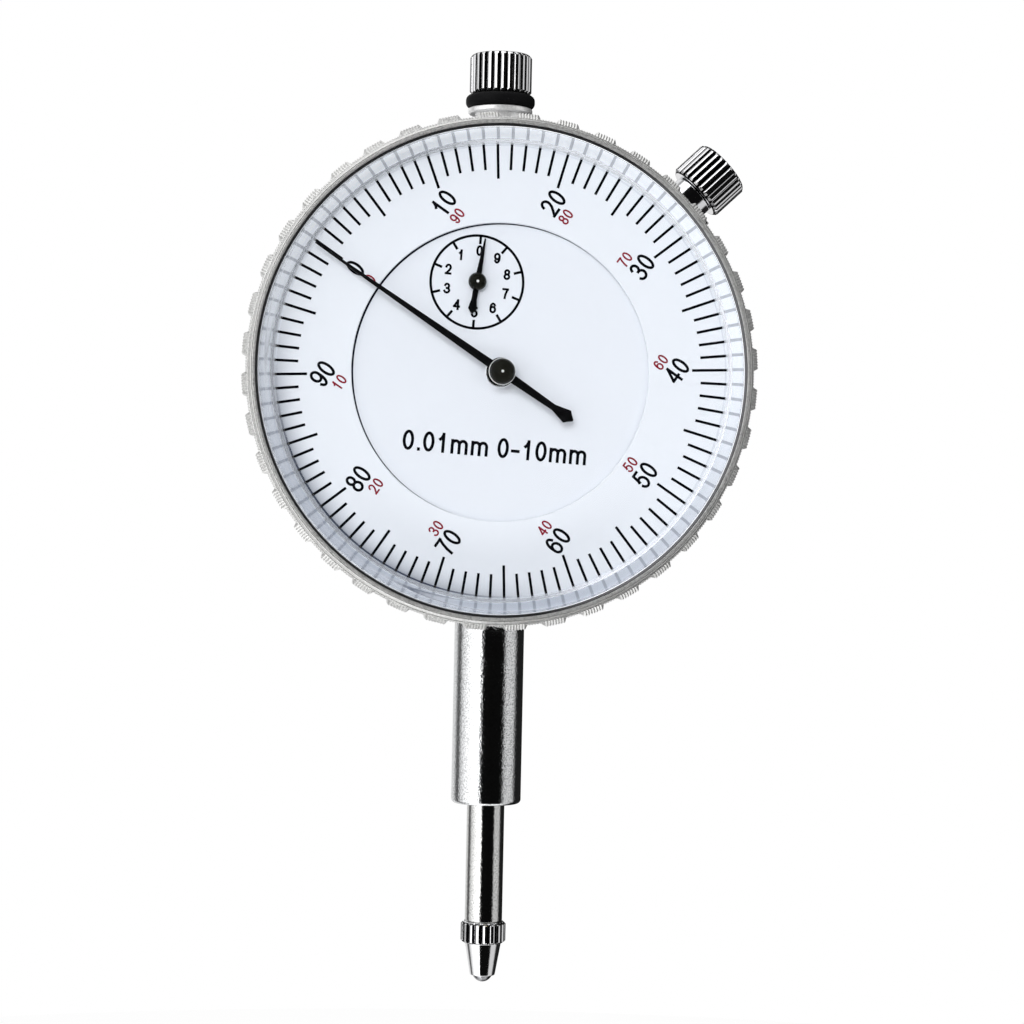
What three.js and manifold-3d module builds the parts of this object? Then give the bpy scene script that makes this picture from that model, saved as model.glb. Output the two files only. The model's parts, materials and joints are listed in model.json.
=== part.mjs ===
// A plunger dial indicator, reading 0.01 mm over 10 mm, in millimetres.
// +Z runs up the plunger and the dial faces -Y. The origin is the middle of the stem's clamping length.
// "Depth" counts forwards from the plunger's axis, towards the reader.
// "Height" counts up from the dial's centre.
import * as THREE from "three";
import { mergeVertices } from "three/addons/utils/BufferGeometryUtils.js";
import Module from "manifold-3d";

const wasm = await Module();
wasm.setup();

// Clearances.
const runningGap = 0.06; // on the radius of a shaft that turns or slides
const seatGap = 0.02; // on the radius of a piece that is pressed or screwed in
const faceGap = 0.05; // between two faces that slide past each other
const overrun = 1; // how far a cutter runs past what it cuts

// Facets round a circle.
const wideFacets = 48;
const roundFacets = 36;
const knobFacets = 28;
const smallFacets = 14;
const pinFacets = 10;

// The gauge as a whole.
const dialHeight = 39; // from the clamping point on the stem up to the dial's centre
const travel = 10.2;

// Stem.
const stemDiameter = 8;
const stemReach = 49.1; // from the dial's centre down to the stem's end
const stemSeatLength = 5.8; // how much of the stem sits in the case
const stemBore = 6;
const stemChamfer = 0.4;

// Plunger, with its rack on the left.
const plungerDiameter = 4.3;
const plungerReach = 62.7; // from the dial's centre down to the contact's collar
const rackPitch = 0.625;
const rackLine = 1.26; // from the plunger's axis to the pitch line
const rackMargin = 1.6; // rack beyond the stretch that the pinion uses
const plungerStudDiameter = 3;
const plungerStudLength = 3;

// Contact.
const collarDiameter = 5.1;
const collarLength = 2.45;
const collarGrooves = 18;
const collarGrooveDepth = 0.18;
const contactConeTop = 4.15;
const contactConeEnd = 2.86;
const contactConeLength = 3.75;
const contactThread = 2.5;
const contactThreadLength = 4;
const ballDiameter = 2.4;
const ballProtrusion = 0.8;

// Lifting cap and clamp knob.
const capDiameter = 7.1;
const capLength = 4.6;
const capGrooves = 26;
const capGrooveDepth = 0.28;
const capChamfer = 0.35;
const capRingDiameter = 7.95;
const capRingThickness = 1.5;

// Bushes.
const lowerBushLength = 9;
const upperBushNeck = 5.6;
const upperBushFlange = 7.4;
const upperBushFlangeThickness = 0.65;
const upperBushStand = 4.2; // from the case out to the flange's top
const upperBushSeatLength = 3.8; // how much of the bush sits in the case

// Case.
const caseRadius = 26.5;
const caseWall = 2.3;
const caseRear = 5; // from the plunger's axis back to the rear rim
const caseEdgeChamfer = 0.5;
const spigotStep = 2; // from the case in to the front step that carries the bezel
const stemBossWidth = 11;
const upperBossWidth = 8.6;
const bossInset = 0.1; // how far a boss reaches into the wall and the web behind it
const caseCornerChamfer = 1.8; // inside, between the wall and the web
const spigotRim = 0.4; // how far the spigot stands before the web
const spigotRimGap = 2.4; // from the inner dial out to that rim
const webThickness = 1.2;

// Depth of the movement, counted forwards from the plunger.
const bridgeGap = 0.3;
const bridgeThickness = 0.9;
const gearGap = 0.25;
const gearThickness = 0.6;
const hairspringGap = 0.35;
const hairspringWidth = 0.5;
const webGap = 0.3;

// Wheels.
const arborDistanceShare = 0.43181818; // between meshing arbors, of the cavity's radius
const mainTeeth = 100;
const centreTeeth = 10;
const rackTeeth = 16;
const toothBacklash = 0.06;
const addendumShare = 0.9; // of the module
const dedendumShare = 1.25; // of the module
const flankSlope = 0.4; // how much a tooth narrows on each side with its height
const pinionOverhang = 0.1; // how far a pinion stands out on each side of its wheel
const rackPinionFace = 1.6;
const wheelSpokes = 4;
const wheelRim = 1.3;
const wheelHubRadius = 1.7;
const wheelSpokeWidth = 1.2;
const arborRadius = 0.45;
const rackArborRadius = 0.6;
const pivotRadius = 0.25;
const hairspringArborAngle = 140; // clockwise from the top of the dial

// Hairspring.
const hairspringTurns = 4.5;
const hairspringInner = 1.3;
const hairspringPitch = 0.72;
const hairspringThickness = 0.12;
const colletRadius = 0.9;
const hairspringStudRadius = 0.4;
const hairspringEndGap = 0.06;

// Bridge and its pillars, as places from the dial's centre: right and up, as shares of the cavity's radius.
const bridgePillarShares = [
  [-0.6405, 0.2273],
  [-0.3099, -0.5992],
  [0.7355, -0.1157],
  [0.4545, 0.5785],
];
const bridgeCornerRadius = 3;
const pillarRadius = 1.6;
const movementScrewRadius = 0.6;
const movementScrewHeadRadius = 1.25;
const movementScrewHeadLength = 0.7;
const movementScrewGrip = 0.8; // thread held in the web or a post

// Rack bridge, the small bar behind the rack pinion.
const rackBridgePostOffset = 4.65; // from the rack pinion's axis out to the posts
const rackBridgePostRise = 3.6; // from the rack pinion's axis up and down to the posts
const rackBridgeCornerRadius = 1.9;
const rackBridgeThickness = 0.8;
const rackBridgeGap = 0.35; // behind the plunger
const rackPostRadius = 1.3;

// Guide pin, guide plate and return spring.
const guidePinRadius = 0.8;
const guidePinReach = 7.1; // from the plunger's axis to the pin's end
const guidePinHeight = -6;
const guidePinGroove = 0.2;
const guidePlateOffset = 3.3; // from the plunger's axis to the plate
const guidePlateThickness = 1;
const guidePlateMargin = 1.4; // plate beyond the slot's ends and sides
const guideFootReach = 2.6;
const guideFootThickness = 0.8;
const springRadius = 1.05; // to the middle of the wire
const springWire = 0.3;
const springTurns = 9;
const springOffset = 6.1; // from the plunger's axis to the spring's axis
const springPostInset = 5; // from the cavity's wall in to the post, at the bottom
const springPostRadius = 0.6;
const springPostHeadRadius = 0.95;
const springPostHeadLength = 0.4;
const springPostReach = 0.9; // behind the spring's axis
const springHookGap = 0.08;

// Dial and scale ring.
const innerDialThickness = 0.4;
const innerDialOverlap = 0.9; // how far the ring laps over the inner dial
const ringWindowShare = 0.614; // radius of the hole in the scale ring, of the crystal's radius
const ringThickness = 0.5;
const ringGap = 0.15;
const innerDialAngle = 3.7; // clockwise, as it was fitted
const dialFootRadius = 0.5;
const dialFootInset = 3.9; // from the ring's window in to a foot
const dialHoleGap = 0.35; // round an arbor or a bush in the inner dial

// Centre bush.
const centreBushRadius = 1.75;
const centreBushStand = 0.25; // above the inner dial

// Hands, with rest angles clockwise from the top of the dial.
const mainHandAngle = -56.8;
const smallHandAngle = 9.4;
const handThickness = 0.2;
const mainHandGap = 0.5; // above the small hand's hub
const mainHandClearance = 0.8; // from its tip out to the crystal's wall
const mainHandRootWidth = 1;
const mainHandTipWidth = 0.2;
const mainHandTail = 9.65;
const mainHandTailWidth = 0.75;
const mainHandSpadeWidth = 1.65;
const mainHandSpadeStart = 7;
const mainHandSpadeWidest = 8.9;
const mainHubRadius = 1.45;
const mainHubHeight = 1;
const smallHandGap = 0.55; // above the inner dial
const smallHandClearance = 1.35; // from its tip at the top out to the scale ring
const smallHandRootWidth = 0.66;
const smallHandTipWidth = 0.22;
const smallHandTail = 3.45;
const smallHandTailWidth = 0.42;
const smallHandFishWidth = 1;
const smallHandFishStart = 1.9;
const smallHandFishDepth = 0.35;
const smallHubRadius = 1.02;
const smallHubHeight = 0.55;
const arborTip = 0.12; // how far an arbor stands out of its hub
const hubDish = 0.12; // depth of the dish in a hub's face
const hubLand = 0.25; // rim left round the dish

// Bezel.
const bezelGrips = 40;
const bezelBandStep = 0.35; // from the lip out to the valleys between the grips
const bezelGripHeight = 0.45;
const gripTopAngle = 4.4;
const gripFootAngle = 5.6;
const firstGripAngle = 4.8; // clockwise from the top of the dial to the first grip
const bezelLipWall = 0.9; // round the crystal
const bezelLipEdge = 0.45; // round the crystal, at the front
const bezelLipHeight = 1.2;
const bezelSkirtStand = 0.9; // from the case out to the skirt's outside
const bezelSkirtLength = 1.2;
const bezelStemGap = 0.2; // between the stem and the skirt
const bezelShoulderGap = 0.3; // between the case's shoulder and the gripped band
const bezelFit = 0.1; // on the radius of the bezel's bores
const bezelSpringWire = 0.8;
const bezelSpringAngle = 330; // degrees of the wire
const bezelSpringPlace = 0.85; // from the case's shoulder forwards to the wire

// Crystal.
const crystalStand = 0.7; // from the case out to the crystal's outside
const crystalWall = 1.3;
const crystalShoulder = 1.9;
const crystalDome = 0.9;
const crystalGap = 1.25; // above the main arbor's tip
const crystalProtrusion = 1; // of the shoulder's top above the bezel's lip
const crystalInnerRound = 0.7;
const crystalSeat = 0.1;

// Back cover and lug.
const coverInset = 0.4; // from the case in to the cover's edge
const coverThickness = 1.3;
const coverChamfer = 0.4;
const lugThickness = 5;
const lugHole = 6.5;
const lugHoleOffset = 6.6; // from the cover to the hole's axis
const lugEndRadius = 6.4;
const lugFootHeight = 17; // where the lug meets the cover
const coverScrewAngles = [60, 120, 240, 300];
const coverScrewInset = 3.9; // from the case in to a screw
const coverScrewBossRadius = 2.3;
const coverScrewRadius = 0.9;
const coverScrewHeadRadius = 1.8;
const coverScrewHeadLength = 0.8;
const coverScrewLength = 5;
const slotWidthShare = 0.3; // of a screw head's radius
const slotDepthShare = 0.5; // of a screw head's length

// Bezel clamp.
const clampAngle = 46.4; // clockwise from the top of the dial
const clampKnobStand = 5; // from the case out to the knob's inner face
const clampNeckDiameter = 5;
const clampThread = 3;
const clampScrewDepth = 1.9; // from the case in to the screw's inner end
const clawThickness = 1.9;
const clawWidth = 7;
const clawReachBack = 3; // behind the screw's axis
const clawHeelLength = 1.2;
const clawSkirtGap = 0.12;
const clawHookGap = 0.2; // behind the gripped band
const clawHeelGap = 0.3; // above the case

// Worked-out radii.
const plungerRadius = plungerDiameter / 2;
const stemRadius = stemDiameter / 2;
const lugHoleRadius = lugHole / 2;
const cavityRadius = caseRadius - caseWall;
const spigotRadius = caseRadius - spigotStep;
const coverRadius = caseRadius - coverInset;
const coverScrewPlace = caseRadius - coverScrewInset;
const crystalRadius = caseRadius + crystalStand;
const bezelSkirtRadius = caseRadius + bezelSkirtStand;
const bezelLipRadius = crystalRadius + bezelLipWall;
const bezelLipTop = crystalRadius + bezelLipEdge;
const bezelValleyRadius = bezelLipRadius + bezelBandStep;
const clampKnobInner = caseRadius + clampKnobStand;
const clampScrewReach = caseRadius - clampScrewDepth;
const ringWindow = crystalRadius * ringWindowShare;
const spigotRimRadius = ringWindow + innerDialOverlap + spigotRimGap;
const dialFootPlace = ringWindow - dialFootInset;
const mainHandLength = crystalRadius - crystalWall - mainHandClearance;
const springPostHeight = -(cavityRadius - springPostInset);
const bridgePillarPlaces = bridgePillarShares.map((share) => share.map((part) => part * cavityRadius));
const upperNeckRadius = upperBushNeck / 2;
const capRadius = capDiameter / 2;
const clampThreadRadius = clampThread / 2;

// Worked-out depths, from the plunger's axis forwards.
const bridgeBack = plungerRadius + bridgeGap;
const bridgeFront = bridgeBack + bridgeThickness;
const gearBack = bridgeFront + gearGap;
const gearFront = gearBack + gearThickness;
const hairspringBack = gearFront + hairspringGap;
const hairspringFront = hairspringBack + hairspringWidth;
const webBack = hairspringFront + webGap;
const webFront = webBack + webThickness;
const innerDialFront = webFront + innerDialThickness;
const ringBack = innerDialFront + ringGap;
const ringFront = ringBack + ringThickness;
const smallHandBack = innerDialFront + smallHandGap;
const smallHubFront = smallHandBack + smallHubHeight;
const mainHandBack = smallHubFront + arborTip + mainHandGap;
const mainHubFront = mainHandBack + mainHubHeight;
const mainArborFront = mainHubFront + arborTip;
const crystalInnerTop = mainArborFront + crystalGap;
const crystalShoulderTop = crystalInnerTop + crystalWall;
const lipFront = crystalShoulderTop - crystalProtrusion;
const knurlFront = lipFront - bezelLipHeight;
const skirtBack = stemRadius + bezelStemGap;
const knurlBack = skirtBack + bezelSkirtLength;
const caseShoulder = knurlBack - bezelShoulderGap;
const rackBridgeBack = plungerRadius + rackBridgeGap; // behind the axis
const coverBack = caseRear + coverThickness; // behind the axis
const lugHoleDepth = coverBack + lugHoleOffset; // behind the axis

// Worked-out heights and places of the arbors, from the dial's centre.
const stemTop = -(caseRadius - stemSeatLength);
const upperBushTop = caseRadius + upperBushStand;
const upperBushInner = caseRadius - upperBushSeatLength;
const capBottom = upperBushTop + faceGap + capRingThickness;
const rackPinionRadius = (rackPitch * rackTeeth) / (2 * Math.PI);
const gearDistance = cavityRadius * arborDistanceShare;
const gearModule = (2 * gearDistance) / (mainTeeth + centreTeeth);
const smallHandLength = ringWindow - gearDistance - smallHandClearance;
const rackArborX = -(rackLine + rackPinionRadius);
const rackArborZ = Math.sqrt(gearDistance ** 2 - rackArborX ** 2);
const hairArborX = gearDistance * Math.sin(radians(hairspringArborAngle));
const hairArborZ = gearDistance * Math.cos(radians(hairspringArborAngle));
const rackModule = rackPitch / Math.PI;

function radians(degrees) {
  return (degrees * Math.PI) / 180;
}

// A point at a clockwise angle from the top, at a distance from the dial's centre, as right and up.
function clockPoint(angle, distance) {
  return [distance * Math.sin(radians(angle)), distance * Math.cos(radians(angle))];
}

// Solids and geometries.

function solidFrom(geometry) {
  const bare = geometry.clone();
  bare.deleteAttribute("normal");
  bare.deleteAttribute("uv");
  const merged = mergeVertices(bare);
  return new wasm.Manifold(
    new wasm.Mesh({
      numProp: 3,
      vertProperties: merged.attributes.position.array,
      triVerts: new Uint32Array(merged.index.array),
    }),
  );
}

function geometryFrom(solid) {
  const mesh = solid.getMesh();
  const geometry = new THREE.BufferGeometry();
  geometry.setAttribute("position", new THREE.BufferAttribute(mesh.vertProperties, 3));
  geometry.setIndex(new THREE.BufferAttribute(mesh.triVerts, 1));
  geometry.computeVertexNormals();
  return geometry;
}

function join(...geometries) {
  const solids = geometries.map(solidFrom);
  return geometryFrom(solids.reduce((sum, next) => sum.add(next)));
}

function cut(geometry, ...tools) {
  const solids = tools.map(solidFrom);
  return geometryFrom(solids.reduce((rest, tool) => rest.subtract(tool), solidFrom(geometry)));
}

function trim(geometry, envelope) {
  return geometryFrom(solidFrom(geometry).intersect(solidFrom(envelope)));
}

// A profile of [radius, distance along] pairs, turned round an axis. One that starts off the axis is a ring.
function revolved(profile, facets) {
  const points = profile.map(([radius, along]) => new THREE.Vector2(radius, along));
  if (THREE.ShapeUtils.area(points) < 0) points.reverse();
  if (points[0].x > 0) points.push(points[0].clone());
  return new THREE.LatheGeometry(points, facets);
}

// The turned form stood up along the plunger: distance along becomes height.
function turnedUp(profile, facets) {
  return revolved(profile, facets).rotateX(Math.PI / 2);
}

// The turned form laid along the dial's axis: distance along becomes depth.
function turnedForward(profile, facets) {
  return revolved(profile, facets).rotateX(Math.PI);
}

// An outline drawn right and up, as a plate from one depth to another.
function plate(shape, back, front) {
  const options = { depth: front - back, bevelEnabled: false, curveSegments: pinFacets };
  return new THREE.ExtrudeGeometry(shape, options).rotateX(Math.PI / 2).translate(0, -back, 0);
}

function rod(radius, back, front, facets) {
  return turnedForward(
    [
      [0, back],
      [radius, back],
      [radius, front],
      [0, front],
    ],
    facets,
  );
}

function rodUp(radius, bottom, top, facets) {
  return turnedUp(
    [
      [0, bottom],
      [radius, bottom],
      [radius, top],
      [0, top],
    ],
    facets,
  );
}

function tube(outer, inner, back, front, facets) {
  return turnedForward(
    [
      [inner, back],
      [outer, back],
      [outer, front],
      [inner, front],
    ],
    facets,
  );
}

function box(left, right, back, front, bottom, top) {
  return new THREE.BoxGeometry(right - left, front - back, top - bottom).translate(
    (left + right) / 2,
    -(back + front) / 2,
    (bottom + top) / 2,
  );
}

function shapeFrom(points) {
  return new THREE.Shape(points.map(([x, y]) => new THREE.Vector2(x, y)));
}

function circleHole(x, y, radius, facets) {
  const points = [];
  for (let i = 0; i < facets; i++) {
    const angle = (2 * Math.PI * i) / facets;
    points.push(new THREE.Vector2(x + radius * Math.sin(angle), y + radius * Math.cos(angle)));
  }
  return new THREE.Path(points);
}

// The outline round a set of discs, as a cord pulled tight round them.
function roundedHull(places, radius, steps) {
  const centre = places.reduce((sum, p) => [sum[0] + p[0], sum[1] + p[1]], [0, 0]);
  const [cx, cy] = centre.map((value) => value / places.length);
  const ordered = [...places].sort(
    (a, b) => Math.atan2(a[1] - cy, a[0] - cx) - Math.atan2(b[1] - cy, b[0] - cx),
  );
  const points = [];
  ordered.forEach(([x, y], i) => {
    const before = ordered[(i + ordered.length - 1) % ordered.length];
    const after = ordered[(i + 1) % ordered.length];
    const start = Math.atan2(y - before[1], x - before[0]) - Math.PI / 2;
    let end = Math.atan2(after[1] - y, after[0] - x) - Math.PI / 2;
    while (end < start) end += 2 * Math.PI;
    for (let k = 0; k <= steps; k++) {
      const angle = start + ((end - start) * k) / steps;
      points.push([x + radius * Math.cos(angle), y + radius * Math.sin(angle)]);
    }
  });
  return shapeFrom(points);
}

// Toothed wheels.

// A pinion's outline, with the middle of one tooth at the given angle.
function pinionOutline(teeth, module, angle) {
  const pitchRadius = (module * teeth) / 2;
  const halfTooth = ((Math.PI * module) / 2 - toothBacklash / 2) / 2;
  const addendum = module * addendumShare;
  const dedendum = module * dedendumShare;
  const halfTip = (halfTooth - addendum * flankSlope) / (pitchRadius + addendum);
  const halfRoot = halfTooth / pitchRadius;
  return outlineOf(teeth, angle, [
    [pitchRadius - dedendum, -halfRoot],
    [pitchRadius, -halfRoot],
    [pitchRadius + addendum, -halfTip],
    [pitchRadius + addendum, halfTip],
    [pitchRadius, halfRoot],
    [pitchRadius - dedendum, halfRoot],
  ]);
}

// A wheel's outline, whose gaps run to a point at the root.
function wheelOutline(teeth, module, angle) {
  const pitchRadius = (module * teeth) / 2;
  const halfTooth = ((Math.PI * module) / 2 - toothBacklash / 2) / 2;
  const halfGap = ((Math.PI * module) / 2 + toothBacklash / 2) / 2;
  const addendum = module * addendumShare;
  const halfTip = (halfTooth - addendum * flankSlope) / (pitchRadius + addendum);
  return outlineOf(teeth, angle, [
    [pitchRadius - halfGap / flankSlope, -Math.PI / teeth],
    [pitchRadius + addendum, -halfTip],
    [pitchRadius + addendum, halfTip],
  ]);
}

// The outline made by one tooth's corners, as radius and turn, set out round a circle.
function outlineOf(teeth, angle, corners) {
  const points = [];
  for (let i = 0; i < teeth; i++) {
    const middle = angle + (2 * Math.PI * i) / teeth;
    for (const [radius, turn] of corners) {
      points.push([radius * Math.cos(middle + turn), radius * Math.sin(middle + turn)]);
    }
  }
  return points;
}

// The angle of a tooth's middle on a wheel that meshes with another one, seen along the line between them.
function meshedAngle(otherAngle, otherTeeth, direction, teeth) {
  const pitch = (2 * Math.PI) / otherTeeth;
  const ahead = (direction - otherAngle) / pitch;
  const share = ahead - Math.floor(ahead);
  return direction + Math.PI + (share * 2 * Math.PI) / teeth + Math.PI / teeth;
}

// A spoked wheel, pressed on its arbor.
function wheelGeometry(angle, bore) {
  const shape = shapeFrom(wheelOutline(mainTeeth, gearModule, angle));
  shape.holes.push(circleHole(0, 0, bore, smallFacets));
  const rimInner = (gearModule * mainTeeth) / 2 - wheelRim;
  const steps = 5;
  for (let i = 0; i < wheelSpokes; i++) {
    const middle = (2 * Math.PI * (i + 0.5)) / wheelSpokes;
    const half = Math.PI / wheelSpokes;
    const outerTurn = half - Math.asin(wheelSpokeWidth / 2 / rimInner);
    const innerTurn = half - Math.asin(wheelSpokeWidth / 2 / wheelHubRadius);
    const points = [];
    for (let k = 0; k <= steps; k++) {
      const turn = middle - outerTurn + (2 * outerTurn * k) / steps;
      points.push(new THREE.Vector2(rimInner * Math.cos(turn), rimInner * Math.sin(turn)));
    }
    for (let k = 0; k <= 1; k++) {
      const turn = middle + innerTurn - 2 * innerTurn * k;
      points.push(
        new THREE.Vector2(wheelHubRadius * Math.cos(turn), wheelHubRadius * Math.sin(turn)),
      );
    }
    shape.holes.push(new THREE.Path(points));
  }
  return plate(shape, gearBack, gearFront);
}

// A shape with grooves round it, as on a straight knurl.
function groovedShape(radius, count, depth) {
  const points = [];
  const pitch = (2 * Math.PI) / count;
  for (let i = 0; i < 2 * count; i++) {
    const distance = i % 2 ? radius - depth : radius;
    const angle = (i * pitch) / 2;
    points.push([distance * Math.cos(angle), distance * Math.sin(angle)]);
  }
  return shapeFrom(points);
}

// A wire along a list of points, with a round section of few sides.
function wire(points, radius, sides, steps) {
  const path = new THREE.CatmullRomCurve3(points);
  const section = circleHole(0, 0, radius, sides).getPoints();
  const shape = new THREE.Shape(section);
  return new THREE.ExtrudeGeometry(shape, { steps, extrudePath: path, curveSegments: 1 });
}

// A screw with a slotted cheese head: its head's underside at depth zero, its shank running forwards.
function screwGeometry(radius, length, headRadius, headLength) {
  const blank = turnedForward(
    [
      [0, -headLength],
      [headRadius, -headLength],
      [headRadius, 0],
      [radius, 0],
      [radius, length],
      [0, length],
    ],
    pinFacets,
  );
  const halfSlot = (headRadius * slotWidthShare) / 2;
  const slotFloor = -headLength * (1 - slotDepthShare);
  const slot = box(
    -headRadius - overrun,
    headRadius + overrun,
    -headLength - overrun,
    slotFloor,
    -halfSlot,
    halfSlot,
  );
  return cut(blank, slot);
}

// Materials.

function material(color, metalness, roughness, extra = {}) {
  return new THREE.MeshStandardMaterial({ color, metalness, roughness, flatShading: true, ...extra });
}

const chrome = material(0xd8dadd, 1, 0.12);
const knurledChrome = material(0xc4c6c9, 1, 0.3);
const steel = material(0xb4b6b8, 1, 0.35);
const brass = material(0xc9a44f, 1, 0.35);
const castAlloy = material(0x9a9da0, 0.6, 0.55);
const blackPaint = material(0x101012, 0.1, 0.4);
const rubber = material(0x16161a, 0, 0.8);
const dialWhite = material(0xe8ebf6, 0, 0.55);
const clearPlastic = material(0xf4f8ff, 0, 0.05, { transparent: true, opacity: 0.25 });
const springSteel = material(0x8f9296, 1, 0.3);

// The tree: the gauge stands on its stem's clamping point, and the head holds all that is placed from the dial.

const gauge = new THREE.Group();
const head = new THREE.Group();
head.position.set(0, 0, dialHeight);
gauge.add(head);

function add(parent, name, geometry, finish) {
  const mesh = new THREE.Mesh(geometry, finish);
  mesh.name = name;
  parent.add(mesh);
  return mesh;
}

function groupAt(parent, x, z, clockwise = 0) {
  const group = new THREE.Group();
  group.position.set(x, 0, z);
  group.rotation.y = radians(clockwise);
  parent.add(group);
  return group;
}

// Case: a cup that opens to the rear, with the web that carries the dial and the movement.

function coverScrewPoints() {
  return coverScrewAngles.map((angle) => clockPoint(angle, coverScrewPlace));
}

function caseGeometry() {
  const groove = bezelSpringWire / 2 + faceGap;
  const grooveMiddle = caseShoulder + bezelSpringPlace;
  const shell = turnedForward(
    [
      [0, webBack],
      [cavityRadius - caseCornerChamfer, webBack],
      [cavityRadius, webBack - caseCornerChamfer],
      [cavityRadius, -caseRear],
      [caseRadius - caseEdgeChamfer, -caseRear],
      [caseRadius, -caseRear + caseEdgeChamfer],
      [caseRadius, caseShoulder],
      [spigotRadius, caseShoulder],
      [spigotRadius, grooveMiddle - groove],
      [spigotRadius - groove, grooveMiddle - groove],
      [spigotRadius - groove, grooveMiddle + groove],
      [spigotRadius, grooveMiddle + groove],
      [spigotRadius, webFront + spigotRim],
      [spigotRimRadius, webFront + spigotRim],
      [spigotRimRadius, webFront],
      [0, webFront],
    ],
    wideFacets,
  );
  const stemHalf = stemBossWidth / 2;
  const upperHalf = upperBossWidth / 2;
  const wall = cavityRadius + bossInset;
  const bossFront = webBack + bossInset;
  const blocks = [
    box(-stemHalf, stemHalf, -caseRear, bossFront, -caseRadius, stemTop),
    box(-upperHalf, upperHalf, -caseRear, bossFront, upperBushInner, caseRadius),
    ...coverScrewPoints().map(([x, z]) =>
      rod(coverScrewBossRadius, -caseRear, bossFront, smallFacets).translate(x, 0, z),
    ),
  ];
  const bosses = trim(join(...blocks), rod(wall, -caseRear, bossFront, wideFacets));
  const far = caseRadius + overrun;
  const holes = [
    rodUp(stemRadius + seatGap, -far, stemTop + overrun, roundFacets),
    rodUp(upperNeckRadius + seatGap, upperBushInner - overrun, far, knobFacets),
    rod(centreBushRadius + seatGap, webBack - overrun, webFront + overrun, smallFacets),
    rod(pivotRadius + runningGap, webBack - overrun, webFront + overrun, pinFacets).translate(
      hairArborX,
      0,
      hairArborZ,
    ),
    rod(arborRadius + runningGap, webBack - overrun, webFront + overrun, pinFacets).translate(
      rackArborX,
      0,
      rackArborZ,
    ),
    rodUp(clampThreadRadius + runningGap, cavityRadius - overrun, far, smallFacets).rotateY(
      radians(clampAngle),
    ),
  ];
  for (const [x, z] of coverScrewPoints()) {
    holes.push(
      rod(
        coverScrewRadius + seatGap,
        -caseRear - overrun,
        coverScrewLength - caseRear,
        pinFacets,
      ).translate(x, 0, z),
    );
  }
  for (const [x, z] of bridgePillarPlaces) {
    holes.push(
      rod(
        movementScrewRadius + seatGap,
        webBack - overrun,
        webBack + movementScrewGrip + seatGap,
        pinFacets,
      ).translate(x, 0, z),
    );
  }
  for (const [x, z] of dialFeetPoints()) {
    holes.push(
      rod(dialFootRadius + seatGap, webBack - overrun, webFront + overrun, pinFacets).translate(
        x,
        0,
        z,
      ),
    );
  }
  const [studX, studZ] = hairspringStudPoint();
  holes.push(
    rod(hairspringStudRadius + seatGap, webBack - overrun, studSeatFront(), pinFacets).translate(
      studX,
      0,
      studZ,
    ),
    rod(springPostRadius + seatGap, webBack - overrun, studSeatFront(), pinFacets).translate(
      springOffset,
      0,
      springPostHeight,
    ),
  );
  return cut(join(shell, bosses), ...holes);
}

// How far forward the studs that stand in the web reach into it.
function studSeatFront() {
  return webBack + movementScrewGrip;
}

add(head, "case", caseGeometry(), castAlloy);

// Back cover with its lug, and its four screws.

function backCoverGeometry() {
  const disc = turnedForward(
    [
      [0, -coverBack],
      [coverRadius - coverChamfer, -coverBack],
      [coverRadius, -coverBack + coverChamfer],
      [coverRadius, -caseRear],
      [0, -caseRear],
    ],
    wideFacets,
  );
  const lugOutline = new THREE.Shape();
  const foot = coverBack - coverThickness / 2;
  lugOutline.moveTo(foot, -lugFootHeight / 2);
  lugOutline.lineTo(coverBack, -lugFootHeight / 2);
  lugOutline.quadraticCurveTo(
    coverBack + lugHoleOffset / 2,
    -lugEndRadius,
    lugHoleDepth,
    -lugEndRadius,
  );
  lugOutline.absarc(lugHoleDepth, 0, lugEndRadius, -Math.PI / 2, Math.PI / 2, false);
  lugOutline.quadraticCurveTo(
    coverBack + lugHoleOffset / 2,
    lugEndRadius,
    coverBack,
    lugFootHeight / 2,
  );
  lugOutline.lineTo(foot, lugFootHeight / 2);
  lugOutline.holes.push(circleHole(lugHoleDepth, 0, lugHoleRadius, smallFacets * 2));
  const options = { depth: lugThickness, bevelEnabled: false, curveSegments: smallFacets / 2 };
  const lug = new THREE.ExtrudeGeometry(lugOutline, options)
    .rotateX(Math.PI / 2)
    .rotateZ(Math.PI / 2)
    .translate(-lugThickness / 2, 0, 0);
  const holes = coverScrewPoints().map(([x, z]) =>
    rod(
      coverScrewRadius + runningGap,
      -coverBack - overrun,
      -caseRear + overrun,
      pinFacets,
    ).translate(x, 0, z),
  );
  return cut(join(disc, lug), ...holes);
}

add(head, "back_cover", backCoverGeometry(), castAlloy);

coverScrewPoints().forEach(([x, z], i) => {
  const screw = screwGeometry(
    coverScrewRadius,
    coverScrewLength + coverThickness - faceGap,
    coverScrewHeadRadius,
    coverScrewHeadLength,
  );
  const mesh = add(head, `cover_screw_${i + 1}`, screw, steel);
  mesh.position.set(x, coverBack, z);
});

// Stem, bushes, plunger and contact.

const lowerBushRadius = stemBore / 2;

add(
  head,
  "stem",
  turnedUp(
    [
      [lowerBushRadius, -stemReach],
      [stemRadius - stemChamfer, -stemReach],
      [stemRadius, -stemReach + stemChamfer],
      [stemRadius, stemTop],
      [lowerBushRadius, stemTop],
    ],
    roundFacets,
  ),
  chrome,
);

add(
  head,
  "lower_bush",
  turnedUp(
    [
      [plungerRadius + runningGap, -stemReach],
      [lowerBushRadius - seatGap, -stemReach],
      [lowerBushRadius - seatGap, -stemReach + lowerBushLength],
      [plungerRadius + runningGap, -stemReach + lowerBushLength],
    ],
    knobFacets,
  ),
  brass,
);

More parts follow.
